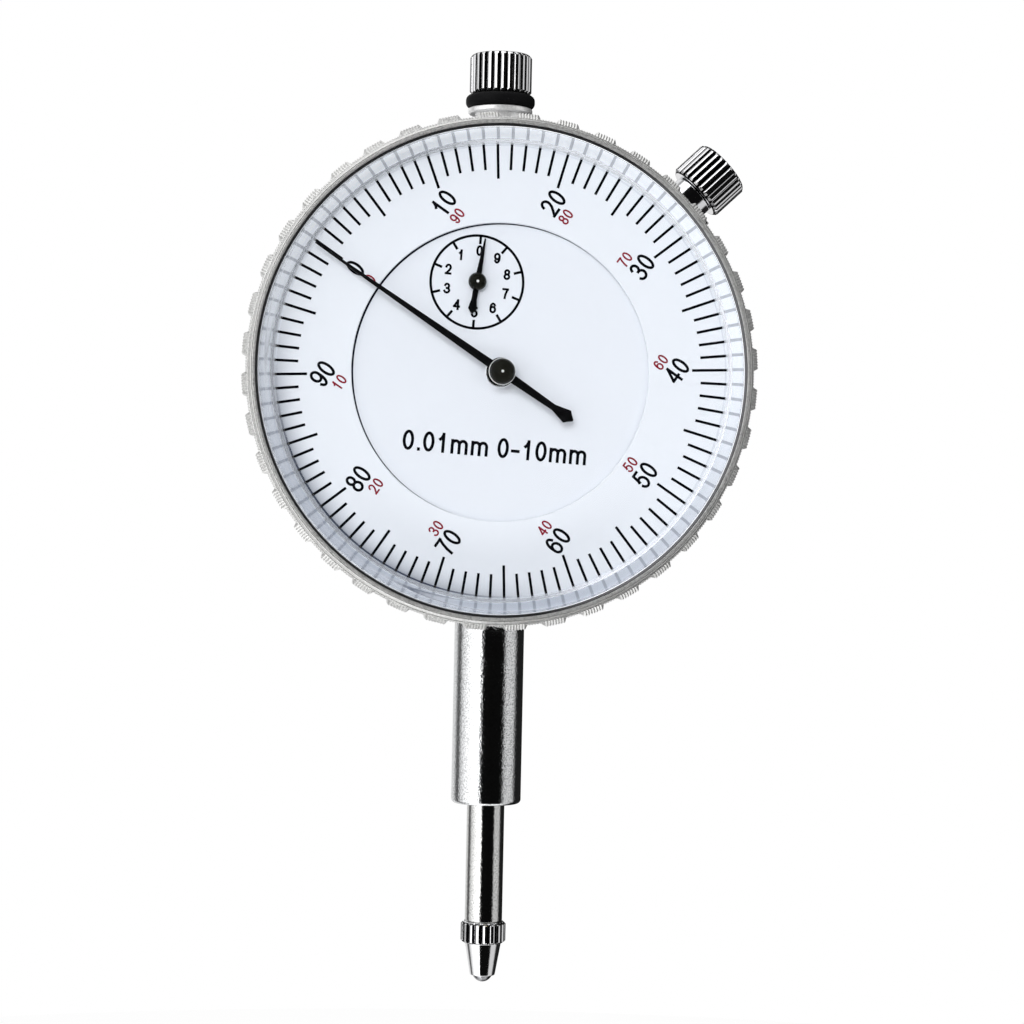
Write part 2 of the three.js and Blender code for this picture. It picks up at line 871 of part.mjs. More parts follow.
add(
  head,
  "upper_bush",
  turnedUp(
    [
      [plungerRadius + runningGap, upperBushInner],
      [upperNeckRadius, upperBushInner],
      [upperNeckRadius, upperBushTop - upperBushFlangeThickness],
      [upperBushFlange / 2, upperBushTop - upperBushFlangeThickness],
      [upperBushFlange / 2, upperBushTop],
      [plungerRadius + runningGap, upperBushTop],
    ],
    knobFacets,
  ),
  chrome,
);

// The comb that cuts the rack: a gap between teeth lies at the rack pinion's height.
function rackCutter() {
  const addendum = rackModule * addendumShare;
  const dedendum = rackModule * dedendumShare;
  const halfGap = (rackPitch / 2 + toothBacklash / 2) / 2;
  const tip = -(rackLine + addendum);
  const root = -(rackLine - dedendum);
  const mouth = halfGap + addendum * flankSlope;
  const floor = halfGap - dedendum * flankSlope;
  const outside = -(plungerRadius + overrun);
  const lowest = Math.round((-travel - rackMargin) / rackPitch);
  const highest = Math.round(rackMargin / rackPitch);
  const points = [[outside, rackArborZ + (lowest - 0.5) * rackPitch]];
  points.push([tip, rackArborZ + (lowest - 0.5) * rackPitch]);
  for (let i = lowest; i <= highest; i++) {
    const middle = rackArborZ + i * rackPitch;
    points.push([tip, middle - mouth], [root, middle - floor]);
    points.push([root, middle + floor], [tip, middle + mouth]);
  }
  points.push([tip, rackArborZ + (highest + 0.5) * rackPitch]);
  points.push([outside, rackArborZ + (highest + 0.5) * rackPitch]);
  return plate(shapeFrom(points), -plungerDiameter, plungerDiameter);
}

function guidePinRod(radius, near, far) {
  return rodUp(radius, near, far, pinFacets).rotateY(Math.PI / 2).translate(0, 0, guidePinHeight);
}

add(
  head,
  "plunger",
  cut(
    turnedUp(
      [
        [0, -plungerReach],
        [plungerRadius, -plungerReach],
        [plungerRadius, capBottom],
        [plungerStudDiameter / 2, capBottom],
        [plungerStudDiameter / 2, capBottom + plungerStudLength],
        [0, capBottom + plungerStudLength],
      ],
      knobFacets,
    ),
    rackCutter(),
    guidePinRod(guidePinRadius + seatGap, 0, plungerDiameter),
    rodUp(
      contactThread / 2 + seatGap,
      -plungerReach - overrun,
      -plungerReach + contactThreadLength + faceGap,
      knobFacets,
    ),
  ),
  steel,
);

function contactPointGeometry() {
  const collarBottom = -plungerReach - collarLength;
  const coneBottom = collarBottom - contactConeLength;
  const collarShape = groovedShape(collarDiameter / 2, collarGrooves, collarGrooveDepth);
  const collar = new THREE.ExtrudeGeometry(collarShape, {
    depth: collarLength,
    bevelEnabled: false,
  }).translate(0, 0, collarBottom);
  const core = turnedUp(
    [
      [0, coneBottom],
      [contactConeEnd / 2, coneBottom],
      [contactConeTop / 2, collarBottom],
      [contactConeTop / 2, collarBottom + collarLength / 2],
      [contactThread / 2, collarBottom + collarLength / 2],
      [contactThread / 2, -plungerReach + contactThreadLength],
      [0, -plungerReach + contactThreadLength],
    ],
    knobFacets,
  );
  const socket = new THREE.SphereGeometry(ballDiameter / 2 + seatGap, smallFacets, smallFacets / 2);
  socket.rotateX(Math.PI / 2).translate(0, 0, coneBottom + ballDiameter / 2 - ballProtrusion);
  return cut(join(collar, core), socket);
}

add(head, "contact_point", contactPointGeometry(), chrome);

function contactBallGeometry() {
  const coneBottom = -plungerReach - collarLength - contactConeLength;
  return new THREE.SphereGeometry(ballDiameter / 2, smallFacets, smallFacets / 2)
    .rotateX(Math.PI / 2)
    .translate(0, 0, coneBottom + ballDiameter / 2 - ballProtrusion);
}

add(head, "contact_ball", contactBallGeometry(), steel);

// Lifting cap and its rubber ring.

// A knurled knob from one distance along the axis to another, with both edges chamfered.
function knobGeometry(bottom, top) {
  const shape = groovedShape(capRadius, capGrooves, capGrooveDepth);
  const grooved = new THREE.ExtrudeGeometry(shape, {
    depth: top - bottom,
    bevelEnabled: false,
  }).translate(0, 0, bottom);
  const envelope = turnedUp(
    [
      [0, bottom],
      [capRadius - capChamfer, bottom],
      [capRadius + overrun, bottom + capChamfer + overrun],
      [capRadius + overrun, top - capChamfer - overrun],
      [capRadius - capChamfer, top],
      [0, top],
    ],
    knobFacets,
  );
  return trim(grooved, envelope);
}

add(
  head,
  "lifting_cap",
  cut(
    knobGeometry(capBottom, capBottom + capLength),
    rodUp(
      plungerStudDiameter / 2 + seatGap,
      capBottom - overrun,
      capBottom + plungerStudLength + faceGap,
      knobFacets,
    ),
  ),
  knurledChrome,
);

function capRingGeometry() {
  const bottom = upperBushTop + faceGap;
  const inner = plungerRadius + seatGap;
  const outer = capRingDiameter / 2;
  const round = capRingThickness / 4;
  return turnedUp(
    [
      [inner, bottom],
      [outer - round, bottom],
      [outer, bottom + round],
      [outer, bottom + capRingThickness - round],
      [outer - round, bottom + capRingThickness],
      [inner, bottom + capRingThickness],
    ],
    knobFacets,
  );
}

add(head, "cap_ring", capRingGeometry(), rubber);

// Guide pin, slotted guide plate and return spring.

function guidePinGeometry() {
  const grooveWidth = springWire + 2 * springHookGap;
  return turnedUp(
    [
      [0, springHookGap],
      [guidePinRadius, springHookGap],
      [guidePinRadius, springOffset - grooveWidth / 2],
      [guidePinRadius - guidePinGroove, springOffset - grooveWidth / 2],
      [guidePinRadius - guidePinGroove, springOffset + grooveWidth / 2],
      [guidePinRadius, springOffset + grooveWidth / 2],
      [guidePinRadius, guidePinReach],
      [0, guidePinReach],
    ],
    pinFacets,
  )
    .rotateY(Math.PI / 2)
    .translate(0, 0, guidePinHeight);
}

add(head, "guide_pin", guidePinGeometry(), steel);

function guidePlateGeometry() {
  const slotHalf = guidePinRadius + runningGap;
  const bottom = guidePinHeight - slotHalf - guidePlateMargin;
  const top = guidePinHeight + travel + slotHalf + guidePlateMargin;
  const rear = -(slotHalf + guidePlateMargin);
  const right = guidePlateOffset + guidePlateThickness;
  const web = box(guidePlateOffset, right, rear, bridgeBack, bottom, top);
  const foot = box(
    guidePlateOffset,
    right + guideFootReach,
    bridgeBack - guideFootThickness,
    bridgeBack,
    top - guidePlateMargin - 2 * guidePinRadius,
    top,
  );
  const slot = box(
    guidePlateOffset - overrun,
    right + guideFootReach + overrun,
    -slotHalf,
    slotHalf,
    guidePinHeight - slotHalf,
    guidePinHeight + travel + slotHalf,
  );
  return cut(join(web, foot), slot);
}

add(head, "guide_plate", guidePlateGeometry(), steel);

function springPostGeometry() {
  const rear = -springPostReach;
  const blank = turnedForward(
    [
      [0, rear - springPostHeadLength],
      [springPostHeadRadius, rear - springPostHeadLength],
      [springPostHeadRadius, rear],
      [springPostRadius, rear],
      [springPostRadius, studSeatFront() - seatGap],
      [0, studSeatFront() - seatGap],
    ],
    pinFacets,
  );
  return blank.translate(springOffset, 0, springPostHeight);
}

add(head, "spring_post", springPostGeometry(), steel);

// The coil hangs between a hook over the pin and a hook round the post, as one unbroken wire.
function returnSpringPoints() {
  const points = [];
  const perTurn = 8;
  const topHook = guidePinRadius - guidePinGroove + springHookGap + springWire / 2;
  const postHook = springPostRadius + springHookGap + springWire / 2;
  const coilTop = guidePinHeight - topHook - springRadius - springWire;
  const coilBottom = springPostHeight + postHook + springRadius + springWire;
  const pitch = (coilTop - coilBottom) / springTurns;
  const hookSteps = 6;
  // Over the pin, which lies along X: from its rear round its top to its front.
  for (let i = 0; i <= hookSteps; i++) {
    const angle = -Math.PI / 6 + (Math.PI * 7 * i) / 6 / hookSteps;
    points.push(
      new THREE.Vector3(
        springOffset,
        topHook * Math.cos(angle),
        guidePinHeight + topHook * Math.sin(angle),
      ),
    );
  }
  for (let i = 0; i <= springTurns * perTurn; i++) {
    const angle = (2 * Math.PI * i) / perTurn - Math.PI / 2;
    points.push(
      new THREE.Vector3(
        springOffset + springRadius * Math.cos(angle),
        springRadius * Math.sin(angle),
        coilTop - (pitch * i) / perTurn,
      ),
    );
  }
  // Round the post, which lies along Y: down its left side, under it and up its right side.
  for (let i = 0; i <= hookSteps; i++) {
    const angle = Math.PI + (Math.PI * 7 * i) / 6 / hookSteps;
    points.push(
      new THREE.Vector3(
        springOffset + postHook * Math.cos(angle),
        0,
        springPostHeight + postHook * Math.sin(angle),
      ),
    );
  }
  return { points, pitch };
}

const returnSpring = returnSpringPoints();
console.log("return spring, gap between turns:", (returnSpring.pitch - springWire).toFixed(2), "mm");
add(
  head,
  "return_spring",
  wire(returnSpring.points, springWire / 2, 5, returnSpring.points.length - 1),
  springSteel,
);

// Bridge plate with its pillars and screws.

function bridgeGeometry() {
  const corners = [...bridgePillarPlaces, rackPostPlaces()[0]];
  const shape = roundedHull(corners, bridgeCornerRadius, 4);
  for (const [x, z] of bridgePillarPlaces) {
    shape.holes.push(circleHole(x, z, movementScrewRadius + runningGap, pinFacets));
  }
  shape.holes.push(
    circleHole(rackArborX, rackArborZ, rackArborRadius + runningGap, smallFacets),
    circleHole(0, 0, pivotRadius + runningGap, pinFacets),
    circleHole(hairArborX, hairArborZ, pivotRadius + runningGap, pinFacets),
  );
  for (const [x, z] of rackPostPlaces()) {
    shape.holes.push(circleHole(x, z, movementScrewRadius + seatGap, pinFacets));
  }
  return plate(shape, bridgeBack, bridgeFront);
}

add(head, "bridge_plate", bridgeGeometry(), brass);

bridgePillarPlaces.forEach(([x, z], i) => {
  const pillar = tube(
    pillarRadius,
    movementScrewRadius + runningGap,
    bridgeFront,
    webBack,
    pinFacets,
  );
  add(head, `bridge_pillar_${i + 1}`, pillar, brass).position.set(x, 0, z);
  const length = webBack - bridgeBack + movementScrewGrip;
  const screw = screwGeometry(
    movementScrewRadius,
    length,
    movementScrewHeadRadius,
    movementScrewHeadLength,
  );
  add(head, `bridge_screw_${i + 1}`, screw, steel).position.set(x, -bridgeBack, z);
});

// Rack bridge, which carries the rear pivot of the rack pinion.

function rackPostPlaces() {
  const x = rackArborX - rackBridgePostOffset;
  return [
    [x, rackArborZ + rackBridgePostRise],
    [x, rackArborZ - rackBridgePostRise],
  ];
}

function rackBridgeGeometry() {
  const places = [...rackPostPlaces(), [rackArborX, rackArborZ]];
  const shape = roundedHull(places, rackBridgeCornerRadius, 4);
  for (const [x, z] of rackPostPlaces()) {
    shape.holes.push(circleHole(x, z, movementScrewRadius + runningGap, pinFacets));
  }
  shape.holes.push(circleHole(rackArborX, rackArborZ, pivotRadius + runningGap, pinFacets));
  return plate(shape, -rackBridgeBack - rackBridgeThickness, -rackBridgeBack);
}

add(head, "rack_bridge", rackBridgeGeometry(), brass);

rackPostPlaces().forEach(([x, z], i) => {
  const post = tube(
    rackPostRadius,
    movementScrewRadius + runningGap,
    -rackBridgeBack,
    bridgeBack,
    pinFacets,
  );
  add(head, `rack_post_${i + 1}`, post, brass).position.set(x, 0, z);
  const rear = rackBridgeBack + rackBridgeThickness;
  const screw = screwGeometry(
    movementScrewRadius,
    rear + bridgeBack + bridgeThickness,
    movementScrewHeadRadius,
    movementScrewHeadLength,
  );
  add(head, `rack_post_screw_${i + 1}`, screw, steel).position.set(x, rear, z);
});

// The wheel train. Angles here are counted as the dial is read, anticlockwise from the right.

const mainToCentre = Math.atan2(-rackArborZ, -rackArborX);
const centreTooth = mainToCentre + Math.PI + Math.PI / centreTeeth;
const centreToHair = Math.atan2(hairArborZ, hairArborX);
const hairTooth = meshedAngle(centreTooth, centreTeeth, centreToHair, mainTeeth);

const rackArbor = groupAt(head, rackArborX, rackArborZ);
const centreArbor = groupAt(head, 0, 0);
const hairArbor = groupAt(head, hairArborX, hairArborZ);

function rackPinionGeometry() {
  const half = rackPinionFace / 2;
  const teeth = plate(shapeFrom(pinionOutline(rackTeeth, rackModule, 0)), -half, half);
  const arbor = turnedForward(
    [
      [0, -rackBridgeBack - rackBridgeThickness],
      [pivotRadius, -rackBridgeBack - rackBridgeThickness],
      [pivotRadius, -rackBridgeBack + faceGap],
      [rackArborRadius, -rackBridgeBack + faceGap],
      [rackArborRadius, gearFront + pinionOverhang],
      [arborRadius, gearFront + pinionOverhang],
      [arborRadius, smallHubFront + arborTip],
      [0, smallHubFront + arborTip],
    ],
    smallFacets,
  );
  return join(teeth, arbor);
}

add(rackArbor, "rack_pinion", rackPinionGeometry(), steel);
add(rackArbor, "main_gear", wheelGeometry(mainToCentre, rackArborRadius + seatGap), brass);

function centrePinionGeometry() {
  const outline = shapeFrom(pinionOutline(centreTeeth, gearModule, centreTooth));
  const teeth = plate(outline, gearBack - pinionOverhang, gearFront + pinionOverhang);
  const arbor = turnedForward(
    [
      [0, bridgeBack + faceGap],
      [pivotRadius, bridgeBack + faceGap],
      [pivotRadius, gearBack],
      [arborRadius, gearBack],
      [arborRadius, mainArborFront],
      [0, mainArborFront],
    ],
    smallFacets,
  );
  return join(teeth, arbor);
}

add(centreArbor, "centre_pinion", centrePinionGeometry(), steel);

add(hairArbor, "hairspring_gear", wheelGeometry(hairTooth, arborRadius + seatGap), brass);
add(
  hairArbor,
  "hairspring_arbor",
  turnedForward(
    [
      [0, bridgeBack + faceGap],
      [pivotRadius, bridgeBack + faceGap],
      [pivotRadius, bridgeFront + faceGap],
      [arborRadius, bridgeFront + faceGap],
      [arborRadius, gearFront + faceGap],
      [colletRadius, gearFront + faceGap],
      [colletRadius, hairspringFront],
      [arborRadius, hairspringFront],
      [arborRadius, webBack - faceGap],
      [pivotRadius, webBack - faceGap],
      [pivotRadius, webFront - faceGap],
      [0, webFront - faceGap],
    ],
    smallFacets,
  ),
  steel,
);

// Hairspring: one flat spiral, from beside the collet out to its stud.

function hairspringOuter() {
  return hairspringInner + hairspringPitch * hairspringTurns;
}

function hairspringStudPoint() {
  const distance =
    hairspringOuter() + hairspringThickness / 2 + hairspringEndGap + hairspringStudRadius;
  return [hairArborX + distance, hairArborZ];
}

function hairspringGeometry() {
  const perTurn = 20;
  const steps = Math.round(hairspringTurns * perTurn);
  const inner = [];
  const outer = [];
  for (let i = 0; i <= steps; i++) {
    const angle = (2 * Math.PI * (i - steps)) / perTurn;
    const radius = hairspringInner + (hairspringPitch * i) / perTurn;
    const near = radius - hairspringThickness / 2;
    const far = radius + hairspringThickness / 2;
    inner.push([near * Math.cos(angle), near * Math.sin(angle)]);
    outer.push([far * Math.cos(angle), far * Math.sin(angle)]);
  }
  return plate(shapeFrom([...inner, ...outer.reverse()]), hairspringBack, hairspringFront);
}

console.log(
  "hairspring, gap between turns:",
  (hairspringPitch - hairspringThickness).toFixed(2),
  "mm",
);
add(hairArbor, "hairspring", hairspringGeometry(), springSteel);

const [hairStudX, hairStudZ] = hairspringStudPoint();
add(
  head,
  "hairspring_stud",
  rod(hairspringStudRadius, hairspringBack, studSeatFront() - seatGap, pinFacets),
  steel,
).position.set(hairStudX, 0, hairStudZ);

// Centre bush, inner dial and hands.

add(
  head,
  "centre_bush",
  tube(
    centreBushRadius,
    arborRadius + runningGap,
    webBack,
    innerDialFront + centreBushStand,
    smallFacets,
  ),
  chrome,
);

function dialFeetPoints() {
  return [90, 270].map((angle) => clockPoint(angle + innerDialAngle, dialFootPlace));
}

function innerDialGeometry() {
  const shape = new THREE.Shape();
  shape.absarc(0, 0, ringWindow + innerDialOverlap, 0, 2 * Math.PI, false);
  shape.holes.push(
    circleHole(0, 0, centreBushRadius + seatGap, smallFacets),
    circleHole(rackArborX, rackArborZ, arborRadius + dialHoleGap, smallFacets),
  );
  const disc = new THREE.ExtrudeGeometry(shape, {
    depth: innerDialThickness,
    bevelEnabled: false,
    curveSegments: wideFacets / 2,
  })
    .rotateX(Math.PI / 2)
    .translate(0, -webFront, 0);
  const feet = dialFeetPoints().map(([x, z]) =>
    rod(dialFootRadius, webBack, webFront + innerDialThickness / 2, pinFacets).translate(x, 0, z),
  );
  return join(disc, ...feet);
}

add(head, "inner_dial", innerDialGeometry(), dialWhite);

// A hand drawn upwards from its arbor: blade, disc round the arbor and tail.
function handGeometry(half, boreRadius, discRadius, back) {
  const blade = plate(
    shapeFrom([...half, ...[...half].reverse().map(([x, y]) => [-x, y])]),
    back,
    back + handThickness,
  );
  const disc = rod(discRadius, back, back + handThickness, smallFacets);
  const bore = rod(boreRadius, back - overrun, back + handThickness + overrun, smallFacets);
  return cut(join(blade, disc), bore);
}

function hubGeometry(radius, back, height) {
  const front = back + height;
  const bore = arborRadius + seatGap;
  return turnedForward(
    [
      [bore, back + handThickness],
      [radius, back + handThickness],
      [radius, front],
      [radius - hubLand, front],
      [radius - 2 * hubLand, front - hubDish],
      [bore, front - hubDish],
    ],
    smallFacets,
  );
}

const mainHandHalf = [
  [mainHandTipWidth / 2, mainHandLength],
  [mainHandRootWidth / 2, 0],
  [mainHandTailWidth / 2, -mainHandSpadeStart],
  [mainHandSpadeWidth / 2, -mainHandSpadeWidest],
  [mainHandTipWidth / 2, -mainHandTail],
];
const mainHandBody = groupAt(centreArbor, 0, 0, mainHandAngle);
add(
  mainHandBody,
  "main_hand",
  handGeometry(mainHandHalf, arborRadius + seatGap, mainHubRadius, mainHandBack),
  blackPaint,
);
add(
  mainHandBody,
  "main_hand_hub",
  hubGeometry(mainHubRadius, mainHandBack, mainHubHeight),
  blackPaint,
);

const smallHandHalf = [
  [smallHandTipWidth / 2, smallHandLength],
  [smallHandRootWidth / 2, 0],
  [smallHandTailWidth / 2, -smallHandFishStart],
  [smallHandFishWidth / 2, -(smallHandTail - smallHandFishDepth)],
  [smallHandTipWidth / 2, -smallHandTail],
];
const smallHandBody = groupAt(rackArbor, 0, 0, smallHandAngle);
add(
  smallHandBody,
  "small_hand",
  handGeometry(smallHandHalf, arborRadius + seatGap, smallHubRadius, smallHandBack),
  blackPaint,
);
add(
  smallHandBody,
  "small_hand_hub",
  hubGeometry(smallHubRadius, smallHandBack, smallHubHeight),
  blackPaint,
);

// Bezel, its spring, the scale ring and the crystal.

function gripsShape() {
  const points = [];
  const pitch = 360 / bezelGrips;
  const top = bezelValleyRadius + bezelGripHeight;
  const corners = [
    [bezelValleyRadius, -gripFootAngle / 2],
    [top, -gripTopAngle / 2],
    [top, gripTopAngle / 2],
    [bezelValleyRadius, gripFootAngle / 2],
  ];
  for (let i = 0; i < bezelGrips; i++) {
    for (const [radius, turn] of corners) {
      points.push(clockPoint(firstGripAngle + i * pitch + turn, radius));
    }
  }
  return shapeFrom(points);
}

function bezelGeometry() {
  const band = plate(gripsShape(), knurlBack, knurlFront);
  const turning = turnedForward(
    [
      [0, skirtBack],
      [bezelSkirtRadius, skirtBack],
      [bezelSkirtRadius, knurlBack + overrun],
      [bezelLipRadius, knurlBack + overrun],
      [bezelLipRadius, knurlFront + bezelLipHeight / 3],
      [bezelLipTop, lipFront],
      [0, lipFront],
    ],
    wideFacets,
  );
  const groove = bezelSpringWire / 2 + faceGap;
  const grooveMiddle = caseShoulder + bezelSpringPlace;
  const bore = spigotRadius + bezelFit;
  const hollow = turnedForward(
    [
      [0, skirtBack - overrun],
      [caseRadius + bezelFit, skirtBack - overrun],
      [caseRadius + bezelFit, knurlBack],
      [bore, knurlBack],
      [bore, grooveMiddle - groove],
      [bore + groove, grooveMiddle - groove],
      [bore + groove, grooveMiddle + groove],
      [bore, grooveMiddle + groove],
      [bore, ringBack],
      [crystalRadius + crystalSeat, ringBack],
      [crystalRadius + crystalSeat, lipFront + overrun],
      [0, lipFront + overrun],
    ],
    wideFacets,
  );
  return cut(join(band, turning), hollow);
}

add(head, "bezel", bezelGeometry(), knurledChrome);

// The wire lies half in the case's groove and half in the bezel's, with its ends apart.
function bezelSpringGeometry() {
  const middle = spigotRadius + bezelFit / 2;
  const half = bezelSpringWire / 2;
  const steps = Math.round((wideFacets * bezelSpringAngle) / 360);
  const outline = [];
  for (const radius of [middle - half, middle + half]) {
    const arc = [];
    for (let i = 0; i <= steps; i++) {
      arc.push(clockPoint((bezelSpringAngle * i) / steps - bezelSpringAngle / 2, radius));
    }
    outline.push(...(radius < middle ? arc : arc.reverse()));
  }
  const place = caseShoulder + bezelSpringPlace;
  return plate(shapeFrom(outline), place - half, place + half);
}

add(head, "bezel_spring", bezelSpringGeometry(), springSteel);

add(
  head,
  "scale_ring",
  tube(crystalRadius, ringWindow, ringBack, ringFront, wideFacets),
  dialWhite,
);

function crystalGeometry() {
  const wallInner = crystalRadius - crystalWall;
  const profile = [[0, crystalShoulderTop + crystalDome]];
  const topRadius = crystalRadius - crystalShoulder;
  const domeSteps = 3;
  for (let i = 1; i <= domeSteps; i++) {
    const share = i / domeSteps;
    profile.push([topRadius * share, crystalShoulderTop + crystalDome * (1 - share ** 2)]);
  }
  const shoulderSteps = 3;
  for (let i = 1; i <= shoulderSteps; i++) {
    const angle = (Math.PI / 2) * (i / shoulderSteps);
    profile.push([
      topRadius + crystalShoulder * Math.sin(angle),
      crystalShoulderTop - crystalShoulder * (1 - Math.cos(angle)),
    ]);
  }
  profile.push([crystalRadius, ringFront], [wallInner, ringFront]);
  profile.push([wallInner, crystalInnerTop - crystalInnerRound]);
  profile.push([wallInner - crystalInnerRound, crystalInnerTop]);
  profile.push([(wallInner - crystalInnerRound) / 2, crystalInnerTop + (crystalDome * 3) / 4]);
  profile.push([0, crystalInnerTop + crystalDome]);
  return turnedForward(profile, wideFacets);
}

add(head, "crystal", crystalGeometry(), clearPlastic);

// Bezel clamp, built upwards from the dial's centre in a group turned to its place.

const clamp = new THREE.Group();
clamp.rotation.y = radians(clampAngle);
head.add(clamp);

const clawInner = bezelSkirtRadius + clawSkirtGap;
const clawOuter = clawInner + clawThickness;

function clampClawGeometry() {
  const front = knurlBack - clawHookGap;
  const body = box(-clawWidth / 2, clawWidth / 2, -clawReachBack, front, clawInner, clawOuter);
  const heel = box(
    -clawWidth / 2,
    clawWidth / 2,
    -clawReachBack,
    clawHeelLength - clawReachBack,
    caseRadius + clawHeelGap,
    clawInner + clawThickness / 2,
  );
  const hole = rodUp(clampThreadRadius + runningGap, caseRadius, clampKnobInner, smallFacets);
  return cut(join(body, heel), hole);
}

add(clamp, "clamp_claw", clampClawGeometry(), steel);

add(
  clamp,
  "clamp_screw",
  turnedUp(
    [
      [0, clampScrewReach],
      [clampThreadRadius, clampScrewReach],
      [clampThreadRadius, clawOuter + faceGap],
      [clampNeckDiameter / 2, clawOuter + faceGap],
      [clampNeckDiameter / 2, clampKnobInner],
      [clampThreadRadius, clampKnobInner],
      [clampThreadRadius, clampKnobInner + plungerStudLength],
      [0, clampKnobInner + plungerStudLength],
    ],
    smallFacets,
  ),
  chrome,
);

add(
  clamp,
  "clamp_knob",
  cut(
    knobGeometry(clampKnobInner, clampKnobInner + capLength),
    rodUp(
      clampThreadRadius + seatGap,
      clampKnobInner - overrun,
      clampKnobInner + plungerStudLength + faceGap,
      smallFacets,
    ),
  ),
  knurledChrome,
);

export default gauge;
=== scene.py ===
"""The looks of a plunger dial indicator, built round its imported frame.

Sizes are in millimetres, as on a drawing, until a mesh is placed. A turned piece is drawn as a profile of
(radius, distance along its axis) and a flat piece as an outline of (right, up), both from the dial's centre.
Angles round the dial are in degrees, clockwise from its top.
"""

import json
import math

import bmesh
import bpy
import numpy as np
from mathutils import Matrix, Vector
from mathutils.geometry import delaunay_2d_cdt


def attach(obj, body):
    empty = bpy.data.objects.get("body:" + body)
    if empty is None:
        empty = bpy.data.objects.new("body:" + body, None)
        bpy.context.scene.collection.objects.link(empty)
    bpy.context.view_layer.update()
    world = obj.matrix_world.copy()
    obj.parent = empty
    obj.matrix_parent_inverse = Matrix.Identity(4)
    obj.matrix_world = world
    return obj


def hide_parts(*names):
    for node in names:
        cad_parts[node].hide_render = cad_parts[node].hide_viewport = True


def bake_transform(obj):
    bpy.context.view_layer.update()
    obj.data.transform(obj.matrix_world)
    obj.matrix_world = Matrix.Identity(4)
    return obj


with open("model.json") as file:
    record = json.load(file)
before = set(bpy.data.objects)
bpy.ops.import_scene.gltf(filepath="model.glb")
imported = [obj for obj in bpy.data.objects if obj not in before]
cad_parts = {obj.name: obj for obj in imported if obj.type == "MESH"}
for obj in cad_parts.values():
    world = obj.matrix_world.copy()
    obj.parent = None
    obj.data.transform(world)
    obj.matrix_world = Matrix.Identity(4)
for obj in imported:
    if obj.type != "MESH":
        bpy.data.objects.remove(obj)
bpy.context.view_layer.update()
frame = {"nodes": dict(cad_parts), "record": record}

MM = 0.001
DIAL_HEIGHT = 39.0
ROUND = 180
FINE_ROUND = 240
HUB_ROUND = 96
SMALL_ROUND = 64

# Depths, counted forwards from the plunger's axis.
COVER_BACK = -6.3
CASE_BACK = -5.0
CASE_SHOULDER = 5.1
WEB_BACK = 5.35
WEB_FRONT = 6.55
INNER_DIAL_FRONT = 6.95
RING_BACK = 7.1
RING_FRONT = 7.6
SMALL_HAND_BACK = 7.5
SMALL_HUB_FRONT = 8.05
MAIN_HAND_BACK = 8.67
MAIN_HUB_FRONT = 9.67
SKIRT_BACK = 4.2
BAND_BACK = 5.4
BAND_FRONT = 10.14
LIP_FRONT = 11.34
CRYSTAL_TOP = 12.34
CRYSTAL_INNER_TOP = 11.04

# Radii.
CASE_RADIUS = 26.5
CAVITY_RADIUS = 24.2
SPIGOT_RADIUS = 24.5
SKIRT_RADIUS = 27.4
BAND_RADIUS = 28.45
GRIP_RADIUS = 28.9
LIP_RADIUS = 28.1
SEAT_RADIUS = 27.35
CRYSTAL_RADIUS = 26.98
CRYSTAL_WALL = 1.3
WINDOW_RADIUS = 16.7
INNER_DIAL_RADIUS = 17.6
WALL_FOOT = 25.68  # where the crystal's wall stands on the scale ring
PRINT_RADIUS = 25.66
RING_RADIUS = 27.04
RETAINER_RADIUS = 24.55
PLUNGER_RADIUS = 2.15
STEM_RADIUS = 4.0
CAP_RADIUS = 3.55
CAP_FLOOR = 3.2
CAP_LENGTH = 4.6
KNURL_RIDGE = 0.74  # share of a knurl's pitch
COLLAR_FLOOR = 2.34

# Angles.
RING_ZERO = -56.0
DIAL_TWIST = 3.7
MAIN_HAND_ANGLE = -56.8
SMALL_HAND_ANGLE = 9.4
CLAMP_ANGLE = 46.4
FIRST_GRIP = 4.8
GRIPS = 40
CAP_GROOVES = 26
COLLAR_GROOVES = 18

# Places of the small dial's arbor and the hairspring's arbor.
SMALL_DIAL = (-2.852, 10.053)
HAIR_ARBOR = (6.717, -8.005)

# The photograph's camera.
PHOTO_PIXELS = 1024
SENSOR = 36.0
FOCAL_PIXELS = 2432
CAMERA_DISTANCE = 280.0
CAMERA_AZIMUTH = -5.5
CAMERA_HEIGHT = 23.38
CAMERA_SIDE = 2.32
CAMERA_ROLL = 1.2


# Nodes.


def operator(operation, swapped=False):
    """A method that adds a Math node for its value and another one."""

    def act(value, other):
        return value.maths(operation, *((other, value) if swapped else (value, other)))

    return act


class Value:
    """A node's output that takes part in expressions: each operator adds a Math node."""

    def __init__(self, tree, socket):
        self.tree = tree
        self.socket = socket

    def maths(self, operation, *values):
        return self.tree.add("ShaderNodeMath", {"operation": operation}, dict(enumerate(values)))

    __add__ = __radd__ = operator("ADD")
    __sub__ = operator("SUBTRACT")
    __rsub__ = operator("SUBTRACT", swapped=True)
    __mul__ = __rmul__ = operator("MULTIPLY")
    __truediv__ = operator("DIVIDE")
    __mod__ = operator("MODULO")
    below = operator("LESS_THAN")

    def root(self):
        return self.maths("SQRT", self)

    def clamped(self):
        return self.tree.add("ShaderNodeClamp", {}, {"Value": self})


